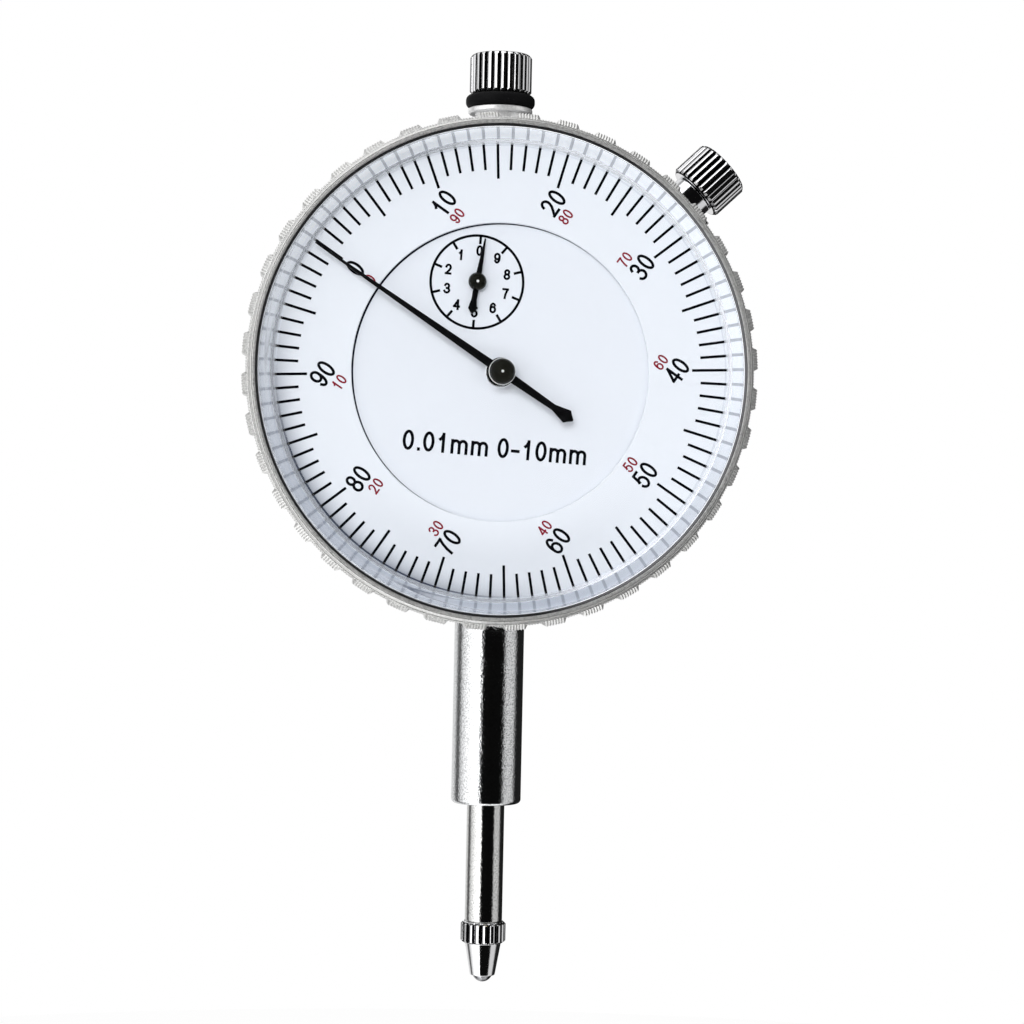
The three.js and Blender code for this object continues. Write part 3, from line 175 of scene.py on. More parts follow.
class Tree:
    """A node tree with one way to add a node: its type, settings, then the values or links of its inputs."""

    def __init__(self, nodes):
        self.nodes = nodes.nodes
        self.links = nodes.links
        self.tree = nodes

    def add(self, kind, settings=None, inputs=None, output=0):
        node = self.nodes.new(kind)
        for key, value in (settings or {}).items():
            if key == "stops":
                self.set_stops(node.color_ramp, value)
            else:
                setattr(node, key, value)
        for key, value in (inputs or {}).items():
            self.feed(node.inputs[key], value)
        return Value(self, node.outputs[output]) if node.outputs else None

    def feed(self, socket, value):
        if isinstance(value, Value):
            self.links.new(value.socket, socket)
        else:
            socket.default_value = value

    @staticmethod
    def set_stops(ramp, stops):
        while len(ramp.elements) < len(stops):
            ramp.elements.new(0.5)
        for element, (position, colour) in zip(ramp.elements, stops):
            element.position = position
            element.color = (*colour, 1)

    # Shader shorthands.

    def place(self):
        return self.add("ShaderNodeTexCoord", output="Object")

    def parts(self, kind, labels, inputs=None):
        """Several outputs of one new node."""
        node = self.add(kind, {}, inputs).socket.node
        return [Value(self, node.outputs[label]) for label in labels]

    def axes(self, place):
        return self.parts("ShaderNodeSeparateXYZ", "XYZ", {"Vector": place})

    def from_dial(self):
        """How far a point is to the right of, behind and above the dial's centre, in millimetres."""
        right, back, up = self.axes(self.place())
        return right / MM, back / MM, up / MM - DIAL_HEIGHT

    def stretched(self, place, scale):
        return self.add("ShaderNodeMapping", {}, {"Vector": place, "Scale": scale})

    def noise(self, place, size, detail=3.0, roughness=0.5):
        """Noise whose features are about `size` millimetres."""
        inputs = {"Vector": place, "Scale": 1 / (size * MM), "Detail": detail, "Roughness": roughness}
        return self.add("ShaderNodeTexNoise", {}, inputs)

    def ramp(self, value, *stops):
        return self.add("ShaderNodeValToRGB", {"stops": stops}, {0: value})

    def mix(self, share, a, b):
        settings = {"data_type": "RGBA"}
        return self.add("ShaderNodeMix", settings, {0: share, 6: a, 7: b}, output=2)

    def bump(self, height, strength, depth):
        """A bump whose full height is `depth` millimetres."""
        inputs = {"Strength": strength, "Distance": depth * MM, "Height": height}
        return self.add("ShaderNodeBump", {}, inputs)


def rgba(colour):
    return (*colour, 1)


def new_material(name):
    material = bpy.data.materials.new(name)
    material.use_nodes = True
    material.node_tree.nodes.clear()
    return material, Tree(material.node_tree)


def surface(name, build):
    """A material with one Principled shader. `build` gets the tree and returns the shader's inputs."""
    material, tree = new_material(name)
    shader = tree.add("ShaderNodeBsdfPrincipled", {}, build(tree))
    tree.add("ShaderNodeOutputMaterial", {}, {"Surface": shader})
    return material


def polished_metal(name, colour, roughness, smudge=0.06, grain=0.16, depth=0.009, speckle=0.0):
    """Bright plating over a fine grain. Faint smudges change its gloss, and its colour dulls where they are.

    `speckle` is how much darker the plating is in its pores."""

    def build(tree):
        place = tree.place()
        smudges = tree.noise(place, 3.0, 4.0)
        fine = tree.noise(place, grain, 2.0)
        dull = tuple(c * 0.86 for c in colour)
        pored = tuple(c * (1 - speckle) for c in colour)
        pores = (tree.noise(place, 0.15, 2.0, 0.7) - 0.36) / 0.2
        return {
            "Base Color": tree.mix(pores.clamped(), rgba(pored), tree.mix(smudges, rgba(dull), rgba(colour))),
            "Metallic": 1.0,
            "Roughness": smudges * smudge + (roughness - smudge / 2),
            "Normal": tree.bump(fine, 0.5, depth),
        }

    return surface(name, build)


def knurled_plating(name, angle, floor):
    """Plating on a knurl, with painted shade black in its grooves. `floor` is their radius about the knob's
    axis.
    """

    def build(tree):
        right, back, up = tree.from_dial()
        across = right * math.cos(math.radians(angle)) - up * math.sin(math.radians(angle))
        height = (across * across + back * back).root() - floor
        # Painted shade: black near the groove floor, where the grooves lie in shadow.
        groove_shade = ((0.13 - height) / 0.04).clamped() * ((height + 0.06) / 0.03).clamped()
        stains = tree.noise(tree.place(), 0.5, 3.0)
        bright = tree.mix(stains, rgba((0.74, 0.74, 0.75)), rgba((0.86, 0.86, 0.87)))
        return {
            "Base Color": tree.mix(groove_shade, bright, rgba((0.006, 0.006, 0.007))),
            "Metallic": 1.0,
            "Roughness": groove_shade * 0.3 + stains * 0.06 + 0.09,
            "Normal": tree.bump(tree.noise(tree.place(), 0.16, 2.0), 0.5, 0.009),
        }

    return surface(name, build)


def satin_metal(name, colour, roughness, grain=0.12, depth=0.03, spread=0.2, metal=1.0, hollow=0.62):
    """Plated, cast or blasted metal with an even grain and darker specks in its hollows.

    `metal` falls as the surface scatters more of its light, `hollow` as the specks grow darker."""

    def build(tree):
        place = tree.place()
        specks = tree.noise(place, grain, 3.0, 0.6)
        patches = tree.noise(place, grain * 18, 3.0)
        dark = tuple(c * hollow for c in colour)
        shade = tree.ramp(specks, (0.3, dark), (0.56, colour))
        cloudy = tree.mix(patches, shade, rgba(colour))
        return {
            "Base Color": cloudy,
            "Metallic": metal,
            "Roughness": specks * spread + (roughness - spread / 2),
            "Normal": tree.bump(specks, 0.5, depth),
        }

    return surface(name, build)


def ground_metal(name, colour, roughness, along="z"):
    """Ground or drawn metal, with fine lines across or along the piece."""

    def build(tree):
        place = tree.place()
        stretch = {"y": (1, 0.02, 1), "z": (1, 1, 0.02), "round": (0.02, 0.02, 1)}[along]
        lines = tree.noise(tree.stretched(place, stretch), 0.06, 3.0, 0.6)
        stains = tree.noise(place, 1.6, 4.0)
        dark = tuple(c * 0.72 for c in colour)
        return {
            "Base Color": tree.mix(stains, rgba(dark), rgba(colour)),
            "Metallic": 1.0,
            "Roughness": lines * 0.16 + stains * 0.08 + (roughness - 0.12),
            "Normal": tree.bump(lines, 0.3, 0.01),
        }

    return surface(name, build)


def painted(tree, grains, colour, roughness, gloss=0.5, depth=0.004, glow=0.0, glow_colour=None):
    """The shader inputs that all paints share. `glow` is painted light, for what a clear edge gathers onto the
    paint.
    """
    return {
        "Base Color": colour,
        "Metallic": 0.0,
        "Roughness": grains * 0.12 + (roughness - 0.06),
        "Specular IOR Level": gloss,
        "Emission Color": glow_colour or colour,
        "Emission Strength": glow,
        "Normal": tree.bump(grains, 0.4, depth),
    }


def enamel(name, colour, roughness, grain=0.05, depth=0.004, tint=0.02, gloss=0.5):
    """Matt or gloss paint with a faint unevenness."""

    def build(tree):
        place = tree.place()
        grains = tree.noise(place, grain, 3.0, 0.6)
        clouds = tree.noise(place, 6.0, 2.0)
        deep = tuple(max(0.0, c * (1 - tint * 2)) for c in colour)
        uneven = tree.mix(clouds * 0.7 + grains * 0.3, rgba(deep), rgba(colour))
        return painted(tree, grains, uneven, roughness, gloss, depth)

    return surface(name, build)


def ring_enamel(name, colour, shade, line):
    """The scale ring's white, with painted shade under the crystal's edge at its lower left and towards its
    bottom.

    Where the crystal's wall stands on it, it has a painted glow, painted shade towards the bottom, and painted
    reflections of the divisions, which go on there as fainter lines."""

    def build(tree):
        grains = tree.noise(tree.place(), 0.05, 3.0, 0.6)
        right, _, up = tree.from_dial()
        radius = (right * right + up * up).root()
        wall = ((radius - WALL_FOOT) / 0.04).clamped()
        paper = 1 - wall

        # Painted reflections of the divisions in the crystal's wall, as fainter lines on the band under it.
        division = right.maths("ARCTAN2", right, up) * (50 / math.pi) + (100.5 - RING_ZERO / 3.6)
        beside = right.maths("ABSOLUTE", division % 1 - 0.5)
        division_reflections = ((0.12 - beside) / 0.04).clamped() * wall
        # Painted shade on the band under the crystal's wall, darkest at the bottom, in the colour `line`.
        lowest = ((right * -0.35 + up * -0.94) / radius * 0.8 + 0.35).clamped()
        below = lowest * wall * ((26.7 - radius) / 0.6).clamped()
        band_shaded = tree.mix(below * 0.6, rgba(colour), rgba(line))

        # Painted shade towards the bottom of the ring.
        low = ((up * -1 / radius - 0.55) / 0.4).clamped() * ((radius - 16.8) / 4).clamped()
        bottom_shaded = tree.mix(low * paper * 0.13, band_shaded, rgba(shade))
        # Painted shade under the crystal's edge, towards the lower left.
        towards = ((right * -0.72 + up * -0.69) / radius - 0.45) / 0.5
        rim = ((radius - 22.4) / 3.3).clamped() * paper
        plain = tree.mix(rim * rim * towards.clamped(), bottom_shaded, rgba(shade))

        # A painted glow on the band under the crystal's wall, weaker on the painted lines and shade.
        glow_share = wall * (1 - division_reflections * 0.5) * (1 - below * 0.6)
        return painted(
            tree, grains, tree.mix(division_reflections * 0.5, plain, rgba(shade)), 0.5, glow=0.26,
            glow_colour=tree.mix(glow_share, rgba((0, 0, 0)), rgba(colour)),
        )

    return surface(name, build)


def turning_paint(name, towards, edge, near, far, roughness, glow=0.0):
    """Paint for a ring round the dial, its colour changing round it as painted light and shade.

    It is `near` at `towards` degrees clockwise from the top, and `far` beyond the cosine `edge`."""
    angle = math.radians(towards)

    def build(tree):
        grains = tree.noise(tree.place(), 0.05, 3.0, 0.6)
        right, _, up = tree.from_dial()
        radius = (right * right + up * up).root()
        cosine = (right * math.sin(angle) + up * math.cos(angle)) / radius
        colour = tree.mix(((cosine - edge) / 0.3).clamped(), rgba(far), rgba(near))
        return painted(tree, grains, colour, roughness, 0.3, glow=glow)

    return surface(name, build)


def moulded_rubber(name, colour):
    def build(tree):
        place = tree.place()
        grains = tree.noise(place, 0.14, 4.0, 0.65)
        bloom = tree.noise(place, 1.1, 3.0)
        pale = tuple(c + 0.006 for c in colour)
        return {
            "Base Color": tree.mix(bloom * grains, rgba(colour), rgba(pale)),
            "Metallic": 0.0,
            "Roughness": grains * 0.25 + 0.5,
            "Specular IOR Level": 0.08,
            "Normal": tree.bump(grains, 0.6, 0.05),
        }

    return surface(name, build)


def clear_acrylic(name):
    """Clear moulding that light passes straight through to what lies under it."""
    material, tree = new_material(name)
    place = tree.place()
    swirl = tree.noise(place, 7.0, 2.0)
    inputs = {
        "Base Color": rgba((0.985, 0.99, 1.0)),
        "Roughness": 0.0,
        "IOR": 1.36,
        "Transmission Weight": 1.0,
        "Normal": tree.bump(swirl, 0.06, 0.02),
    }
    glass = tree.add("ShaderNodeBsdfPrincipled", {}, inputs)
    clear = tree.add("ShaderNodeBsdfTransparent", {}, {"Color": rgba((0.97, 0.975, 0.985))})
    shadow = tree.add("ShaderNodeLightPath", output="Is Shadow Ray")
    mixed = tree.add("ShaderNodeMixShader", {}, {0: shadow, 1: glass, 2: clear})
    tree.add("ShaderNodeOutputMaterial", {}, {"Surface": mixed})
    return material


PLATING = polished_metal("bright_plating", (0.84, 0.85, 0.87), 0.09)
STEM_PLATING = polished_metal("stem_plating", (0.83, 0.84, 0.85), 0.09, 0.07, 0.22, 0.05, 0.5)
BEZEL_PLATING = satin_metal("bezel_plating", (0.77, 0.77, 0.76), 0.38, 0.26, 0.05, metal=0.78, hollow=0.4)
FLANGE_PLATING = satin_metal("flange_plating", (0.88, 0.88, 0.88), 0.34, grain=0.3, depth=0.01, metal=0.6)
CAP_PLATING = knurled_plating("cap_plating", 0, CAP_FLOOR)
CLAMP_KNOB_PLATING = knurled_plating("clamp_knob_plating", CLAMP_ANGLE, CAP_FLOOR)
COLLAR_PLATING = knurled_plating("collar_plating", 0, COLLAR_FLOOR)
GROUND_STEEL = ground_metal("ground_steel", (0.70, 0.70, 0.69), 0.20)
PLUNGER_STEEL = polished_metal("plunger_steel", (0.74, 0.74, 0.73), 0.11, 0.06, 0.2, 0.03, 0.4)
BALL_STEEL = polished_metal("ball_steel", (0.24, 0.24, 0.25), 0.12)
DARK_STEEL = ground_metal("dark_steel", (0.42, 0.42, 0.43), 0.36, "round")
RIVET_STEEL = satin_metal("rivet_steel", (0.96, 0.96, 0.94), 0.40, metal=0.2, hollow=0.9)
WIRE_STEEL = ground_metal("spring_wire_steel", (0.56, 0.57, 0.60), 0.26, "round")
BRASS = ground_metal("movement_brass", (0.78, 0.58, 0.24), 0.30, "y")
CASE_FINISH = satin_metal("case_satin", (0.66, 0.67, 0.69), 0.40, grain=0.18, depth=0.02, metal=0.75)
DIAL_WHITE = enamel("dial_white", (0.80, 0.83, 0.875), 0.55)
# Its last two colours are painted shade: under the crystal's edge, and on the band under its wall.
RING_WHITE = ring_enamel("ring_white", (0.805, 0.835, 0.875), (0.10, 0.12, 0.17), (0.22, 0.26, 0.34))
# Painted shadow colour for the window's edge.
EDGE_PAINTED_SHADOW = enamel("edge_painted_shadow", (0.012, 0.014, 0.03), 0.5, grain=0.03, tint=0.3, gloss=0.1)
# Painted light: a glowing liner, lighter towards the right.
LINER_PAINTED_LIGHT = turning_paint("liner_painted_light", 75, -0.1, (0.86, 0.88, 0.91), (0.42, 0.44, 0.47), 0.45, glow=0.36)
# Painted shade: dark at the lower left, ring-white elsewhere.
FOOT_PAINTED_SHADE = turning_paint("foot_painted_shade", 222, 0.6, (0.025, 0.035, 0.065), (0.70, 0.73, 0.785), 0.5)
# Painted shade for the seam, lighter towards the right.
SEAM_PAINTED_SHADE = turning_paint("seam_painted_shade", 100, 0.35, (0.12, 0.12, 0.125), (0.012, 0.012, 0.013), 0.5)
BLACK_INK = enamel("black_ink", (0.003, 0.003, 0.005), 0.5, grain=0.03, tint=0.3, gloss=0.06)
RED_INK = enamel("red_ink", (0.27, 0.012, 0.03), 0.5, grain=0.03, tint=0.15, gloss=0.2)
HAND_LACQUER = enamel(
    "hand_lacquer", (0.0035, 0.0035, 0.004), 0.3, grain=0.08, depth=0.006, tint=0.3, gloss=0.14,
)
HUB_LACQUER = enamel("hub_lacquer", (0.010, 0.010, 0.007), 0.24, grain=0.1, depth=0.006, tint=0.3, gloss=0.3)
RUBBER = moulded_rubber("black_rubber", (0.0018, 0.0018, 0.0022))
CRYSTAL = clear_acrylic("clear_acrylic")


# Meshes.


def in_front(turn=0.0, at=(0.0, 0.0)):
    """Local X right, Y up, Z forwards, from a point of the dial, in metres. `turn` is clockwise."""
    place = Matrix.Translation(Vector((at[0], 0, DIAL_HEIGHT + at[1])) * MM)
    facing = place @ Matrix.Rotation(math.pi / 2, 4, "X")
    return facing @ Matrix.Rotation(-math.radians(turn), 4, "Z") @ Matrix.Scale(MM, 4)


def from_centre(turn):
    """Turned axes from the dial's centre, in metres."""
    return Matrix.Translation(Vector((0, 0, DIAL_HEIGHT)) * MM) @ turn @ Matrix.Scale(MM, 4)


def upwards():
    """Local Z up the plunger."""
    return from_centre(Matrix.Identity(4))


def outwards(angle):
    """Local Z out through the given angle of the dial's rim."""
    return from_centre(Matrix.Rotation(math.radians(angle), 4, "Y"))


def new_piece(name, data):
    piece = bpy.data.objects.new(name, data)
    bpy.context.scene.collection.objects.link(piece)
    return piece


def clean(piece, where, material, sharp=32):
    """Puts the mesh in its place, closes it, turns its faces outwards and shades it."""
    mesh = piece.data
    mesh.transform(where)
    form = bmesh.new()
    form.from_mesh(mesh)
    bmesh.ops.remove_doubles(form, verts=form.verts, dist=0.0004 * MM)
    bmesh.ops.dissolve_degenerate(form, edges=form.edges, dist=0.0002 * MM)
    bmesh.ops.recalc_face_normals(form, faces=form.faces)
    form.to_mesh(mesh)
    form.free()
    mesh.shade_smooth()
    mesh.set_sharp_from_angle(angle=math.radians(sharp))
    mesh.materials.clear()
    mesh.materials.append(material)
    return piece


def grid_mesh(name, rows, wrap_rows, wrap_columns):
    """A skin over rows of points, each row as long as the next."""
    points = np.array(rows, float)
    height, width = points.shape[:2]
    faces = []
    for i in range(height if wrap_rows else height - 1):
        for j in range(width if wrap_columns else width - 1):
            a, b = i, (i + 1) % height
            c, d = j, (j + 1) % width
            faces.append((a * width + c, a * width + d, b * width + d, b * width + c))
    mesh = bpy.data.meshes.new(name)
    mesh.from_pydata(points.reshape(-1, 3).tolist(), [], faces)
    return mesh


def filleted(corners, radius=0.12, steps=4, closed=False, hold=0.03):
    """A profile whose corners are rounded. A corner may bring its own radius as a third number.

    `hold` is how far along each side a further point keeps the side's shading straight."""
    points = []
    count = len(corners)
    for i, corner in enumerate(corners):
        here = np.array(corner[:2], float)
        own = corner[2] if len(corner) > 2 else radius
        if own <= 0 or (not closed and i in (0, count - 1)):
            points.append(here)
            continue
        before = np.array(corners[i - 1][:2], float) - here
        after = np.array(corners[(i + 1) % count][:2], float) - here
        reach_before, reach_after = np.linalg.norm(before), np.linalg.norm(after)
        before, after = before / reach_before, after / reach_after
        half = math.acos(max(-1.0, min(1.0, float(before @ after)))) / 2
        if half > math.pi / 2 - 0.02:
            points.append(here)
            continue
        reach = min(own / math.tan(half), reach_before * 0.48, reach_after * 0.48)
        own = reach * math.tan(half)
        middle = before + after
        centre = here + middle / np.linalg.norm(middle) * (own / math.sin(half))
        start, end = here + before * reach - centre, here + after * reach - centre
        turn = math.atan2(start[0] * end[1] - start[1] * end[0], float(start @ end))
        if hold and reach + hold < reach_before / 2:
            points.append(here + before * (reach + hold))
        for k in range(steps + 1):
            angle = turn * k / steps
            c, s = math.cos(angle), math.sin(angle)
            points.append(centre + np.array([c * start[0] - s * start[1], s * start[0] + c * start[1]]))
        if hold and reach + hold < reach_after / 2:
            points.append(here + after * (reach + hold))
    return [(max(0.0, float(x)), float(y)) for x, y in points]


def turned(name, profile, where, material, closed=False, segments=ROUND, sharp=32):
    """A profile turned round local Z. A closed profile is a ring; an open one starts and ends on the axis."""
    rows = []
    for radius, along in profile:
        angles = np.linspace(0, 2 * math.pi, segments, endpoint=False)
        rows.append([(radius * math.cos(a), radius * math.sin(a), along) for a in angles])
    piece = new_piece(name, grid_mesh(name, rows, closed, True))
    return clean(piece, where, material, sharp)


def solid(name, corners, radius, where, material, steps=4, **more):
    """A turned piece without a hole, drawn by its corners."""
    return turned(name, filleted(corners, radius, steps), where, material, **more)


def sleeve(name, corners, radius, where, material, steps=4, **more):
    """A turned piece with a hole through it, drawn by its corners."""
    return turned(name, filleted(corners, radius, steps, True), where, material, closed=True, **more)


def raised(form, name, height):
    """A piece made by raising the form's flat faces."""
    lifted = bmesh.ops.extrude_face_region(form, geom=form.faces[:])
    moved = [v for v in lifted["geom"] if isinstance(v, bmesh.types.BMVert)]
    bmesh.ops.translate(form, verts=moved, vec=(0, 0, height))
    bmesh.ops.recalc_face_normals(form, faces=form.faces)
    mesh = bpy.data.meshes.new(name)
    form.to_mesh(mesh)
    form.free()
    return new_piece(name, mesh)


def plate(name, outline, back, front, where, material, bevel=0.0, holes=()):
    """An outline of (right, up) as a plate between two depths, with its edges softened."""
    form = bmesh.new()
    edges = []
    for loop in (outline, *holes):
        corners = [form.verts.new((x, y, back)) for x, y in loop]
        edges += [form.edges.new((corners[i - 1], corners[i])) for i in range(len(corners))]
    bmesh.ops.triangle_fill(form, edges=edges, use_beauty=True)
    bmesh.ops.dissolve_limit(form, angle_limit=0.01, verts=form.verts, edges=form.edges)
    piece = raised(form, name, front - back)
    if bevel:
        soften(piece, bevel)
    return clean(piece, where, material)


def soften(piece, width, segments=3):
    """Bevels every sharp edge of a mesh that is still in millimetres."""
    modifier = piece.modifiers.new("edges", "BEVEL")
    modifier.width = width
    modifier.segments = segments
    modifier.limit_method = "ANGLE"
    modifier.angle_limit = math.radians(35)
    bake(piece)


def bake(piece):
    """Turns what a piece's modifiers make into its plain mesh."""
    evaluated = piece.evaluated_get(bpy.context.evaluated_depsgraph_get())
    mesh = bpy.data.meshes.new_from_object(evaluated)
    piece.modifiers.clear()
    piece.data = mesh


def disc_outline(radius, steps=96, centre=(0, 0)):
    angles = np.linspace(0, 2 * math.pi, steps, endpoint=False)
    return [(centre[0] + radius * math.cos(a), centre[1] + radius * math.sin(a)) for a in angles]


# Geometry Nodes.


def node_group(name, inputs):
    """An empty geometry tree with named inputs, and their values by name."""
    group = bpy.data.node_groups.new(name, "GeometryNodeTree")
    group.interface.new_socket("Geometry", in_out="INPUT", socket_type="NodeSocketGeometry")
    group.interface.new_socket("Geometry", in_out="OUTPUT", socket_type="NodeSocketGeometry")
    for label, kind in inputs.items():
        group.interface.new_socket(label, in_out="INPUT", socket_type="NodeSocket" + kind)
    tree = Tree(group)
    source = group.nodes.new("NodeGroupInput")
    return tree, {socket.name: Value(tree, socket) for socket in source.outputs if socket.name}


def end_group(tree, geometry, material):
    """Realize Instances, then Set Material, then the group's output."""
    real = tree.add("GeometryNodeRealizeInstances", {}, {"Geometry": geometry})
    finished = tree.add("GeometryNodeSetMaterial", {}, {"Geometry": real, "Material": material})
    tree.add("NodeGroupOutput", {}, {"Geometry": finished})


def repeat_group():
    """Copies the piece's own mesh round local Z."""
    tree, given = node_group("round_the_axis", {"Count": "Int", "Start": "Float", "Material": "Material"})
    points = tree.add("GeometryNodePoints", {}, {"Count": given["Count"]})
    number = tree.add("GeometryNodeInputIndex")
    turn = number * (2 * math.pi) / given["Count"] + given["Start"]
    rotation = tree.add("ShaderNodeCombineXYZ", {}, {"Z": turn})
    inputs = {"Points": points, "Instance": given["Geometry"], "Rotation": rotation}
    end_group(tree, tree.add("GeometryNodeInstanceOnPoints", {}, inputs), given["Material"])
    return tree.tree


def division_group():
    """Scale divisions round local Z from its Y axis, clockwise, each some number of them longer."""
    lengths = dict.fromkeys(("Outer", "Short", "Long", "Width", "Back", "Thickness"), "Float")
    kinds = {"Count": "Int", "Every": "Int", **lengths, "Material": "Material"}
    tree, given = node_group("scale_divisions", kinds)
    number = tree.add("GeometryNodeInputIndex")
    angle = number * (2 * math.pi) / given["Count"]
    is_long = (number % given["Every"]).below(0.5)
    length = given["Short"] + is_long * (given["Long"] - given["Short"])
    radius = given["Outer"] - length * 0.5
    across = radius * angle.maths("SINE", angle)
    up = radius * angle.maths("COSINE", angle)
    depth = given["Back"] + given["Thickness"] * 0.5
    position = tree.add("ShaderNodeCombineXYZ", {}, {"X": across, "Y": up, "Z": depth})
    size = tree.add("ShaderNodeCombineXYZ", {}, {"X": given["Width"], "Y": length, "Z": given["Thickness"]})
    rotation = tree.add("ShaderNodeCombineXYZ", {}, {"Z": 0 - angle})
    points = tree.add("GeometryNodePoints", {}, {"Count": given["Count"], "Position": position})
    bar = tree.add("GeometryNodeMeshCube")
    inputs = {"Points": points, "Instance": bar, "Rotation": rotation, "Scale": size}
    end_group(tree, tree.add("GeometryNodeInstanceOnPoints", {}, inputs), given["Material"])
    return tree.tree


REPEAT = repeat_group()
DIVISIONS = division_group()


def grown(piece, group, **values):
    """Runs a geometry tree on a piece and keeps the plain mesh."""
    modifier = piece.modifiers.new("growth", "NODES")
    modifier.node_group = group
    for item in group.interface.items_tree:
        if item.in_out == "INPUT" and item.name in values:
            modifier[item.identifier] = values[item.name]
    bake(piece)
    return piece


def gripped(name, profile, grip, count, where, material, closed=False, start=0.0, sharp=32, cut_from=None):
    """A turned piece cut back by a grip, drawn as (share of one pitch, radius, depth of a cut).

    The cut lowers every part of the profile that stands further out than `cut_from`.
    One pitch of the piece is made here, and the tree sets it out round the axis."""
    pitch = 2 * math.pi / count
    rows = []
    for radius, along in profile:
        row = []
        for share, limit, *cut in grip:
            reach, angle = min(radius, limit), share * pitch
            if cut and reach > cut_from:
                reach -= cut[0]
            row.append((reach * math.cos(angle), reach * math.sin(angle), along))
        rows.append(row)
    piece = new_piece(name, grid_mesh(name, rows, closed, False))
    grown(piece, REPEAT, Count=count, Start=math.radians(start), Material=material)
    return clean(piece, where, material, sharp)


def knurl(outer, count, ridge_share, floor):
    """One pitch of a knurl: a ridge whose rounded side faces left, then a steep side and a groove."""
    pitch = 2 * math.pi * outer / count
    first, last = math.radians(-62), math.radians(8)
    bow = pitch * ridge_share / (math.sin(last) - math.sin(first))
    steps = 12
    ridge = []
    for i in range(steps + 1):
        angle = first + (last - first) * i / steps
        across = (math.sin(angle) - math.sin(first)) * bow
        ridge.append((0.02 + across / pitch, outer - bow * (1 - math.cos(angle))))
    return [(0.0, floor), *ridge, (0.06 + ridge_share, floor), (1.0, floor)]


INK = 0.012
INK_SINK = 0.004


def divisions(name, back, where, material, **sizes):
    """Printed divisions on the surface at `back`. `sizes` are inputs of the tree."""
    piece = new_piece(name, bpy.data.meshes.new(name))
    grown(piece, DIVISIONS, **sizes, Back=back - INK_SINK, Thickness=INK + INK_SINK, Material=material)
    return clean(piece, where, material)


def arc(right, up, reach, rise, start, end):
    """Part of an ellipse as points. Angles are in degrees, anticlockwise from its right."""
    steps = max(4, round(abs(end - start) / 12))
    angles = [math.radians(start + (end - start) * i / steps) for i in range(steps + 1)]
    return [(right + reach * math.cos(a), up + rise * math.sin(a)) for a in angles]


def numeral(bearing, width, *strokes):
    return 0.78, bearing, width, 0, 1, strokes


def arches(*middles):
    return [arc(middle, 0.68, 0.25, 0.32, 180, 0) + [(middle + 0.25, 0)] for middle in middles]


# Each glyph: its advance, left bearing, width, bottom and height, all of a numeral's height, then its strokes
# as points in a box one wide and one high.
GLYPHS = {
    "0": numeral(0.06, 0.65, arc(0.5, 0.5, 0.5, 0.5, 0, 360)),
    "1": numeral(0.15, 0.37, [(1, 0), (1, 1)], [(0.92, 0.94), (0.5, 0.77), (0.1, 0.7)]),
    "2": numeral(
        0.04,
        0.66,
        arc(0.5, 0.72, 0.47, 0.28, 168, -24) + [(0.78, 0.43), (0.4, 0.2), (0.12, 0.04)],
        [(0, 0), (1, 0)],
    ),
    "3": numeral(0.06, 0.66, arc(0.47, 0.76, 0.43, 0.24, 160, -90), arc(0.47, 0.26, 0.53, 0.26, 90, -160)),
    "4": numeral(0.02, 0.69, [(0.76, 0), (0.76, 1)], [(0.7, 0.94), (0.06, 0.35)], [(0, 0.29), (1, 0.29)]),
    "5": numeral(0.06, 0.66, [(0.9, 1), (0.24, 1), (0.1, 0.5)], arc(0.48, 0.33, 0.52, 0.33, 146, -160)),
    "6": numeral(0.05, 0.66, arc(0.5, 0.31, 0.5, 0.31, 0, 360), arc(0.5, 0.5, 0.5, 0.5, 192, 38)),
    "7": numeral(0.06, 0.65, [(0, 1), (1, 1)], [(0.96, 0.97), (0.7, 0.68), (0.5, 0.34), (0.42, 0)]),
    "8": numeral(0.06, 0.66, arc(0.5, 0.76, 0.42, 0.24, 0, 360), arc(0.5, 0.26, 0.5, 0.26, 0, 360)),
    "9": numeral(0.06, 0.66, arc(0.5, 0.69, 0.5, 0.31, 0, 360), arc(0.5, 0.5, 0.5, 0.5, 12, -142)),
    "m": (1.16, 0.09, 0.98, 0, 0.73, [[(0, 0), (0, 1)], *arches(0.25, 0.75)]),
    ".": (0.39, 0.13, 0.14, 0, 0.14, [[(0.5, 0), (0.5, 1)]]),
    "-": (0.62, 0.06, 0.5, 0.31, 0.13, [[(0, 0.5), (1, 0.5)]]),
    " ": (0.39, 0, 0, 0, 0, []),
}


def stroke_sections(points, half):
    """A thick line as one four-cornered section for each of its steps, with square ends."""
    path = [Vector(point) for point in points]
    closed = (path[0] - path[-1]).length < half / 50
    if closed:
        path = path[:-1]
    else:
        path[0] += (path[0] - path[1]).normalized() * half
        path[-1] += (path[-1] - path[-2]).normalized() * half
    count = len(path)
    sides = []
    for i, here in enumerate(path):
        before = (here - path[i - 1]).normalized() if i or closed else None
        after = (path[(i + 1) % count] - here).normalized() if i < count - 1 or closed else None
        before, after = before or after, after or before
        across = Vector((-before.y - after.y, before.x + after.x)).normalized()
        reach = half / across.dot(Vector((-after.y, after.x)))
        sides.append((here + across * reach, here - across * reach))
    steps = range(count if closed else count - 1)
    return [(*sides[i], *reversed(sides[(i + 1) % count])) for i in steps]


def glyph_sections(text, narrowing, thick):
    """The sections of a word's strokes, for a height of one, and the word's width."""
    start, sections = 0.0, []
    for letter in text:
        advance, bearing, width, bottom, height, strokes = GLYPHS[letter]
        left, across = start + bearing * narrowing, max(0.0, width * narrowing - thick)
        rise = max(0.02, height - thick)
        for stroke in strokes:
            points = [(left + thick / 2 + u * across, bottom + thick / 2 + v * rise) for u, v in stroke]
            sections += stroke_sections(points, thick / 2)
        start += advance * narrowing
    return sections, start


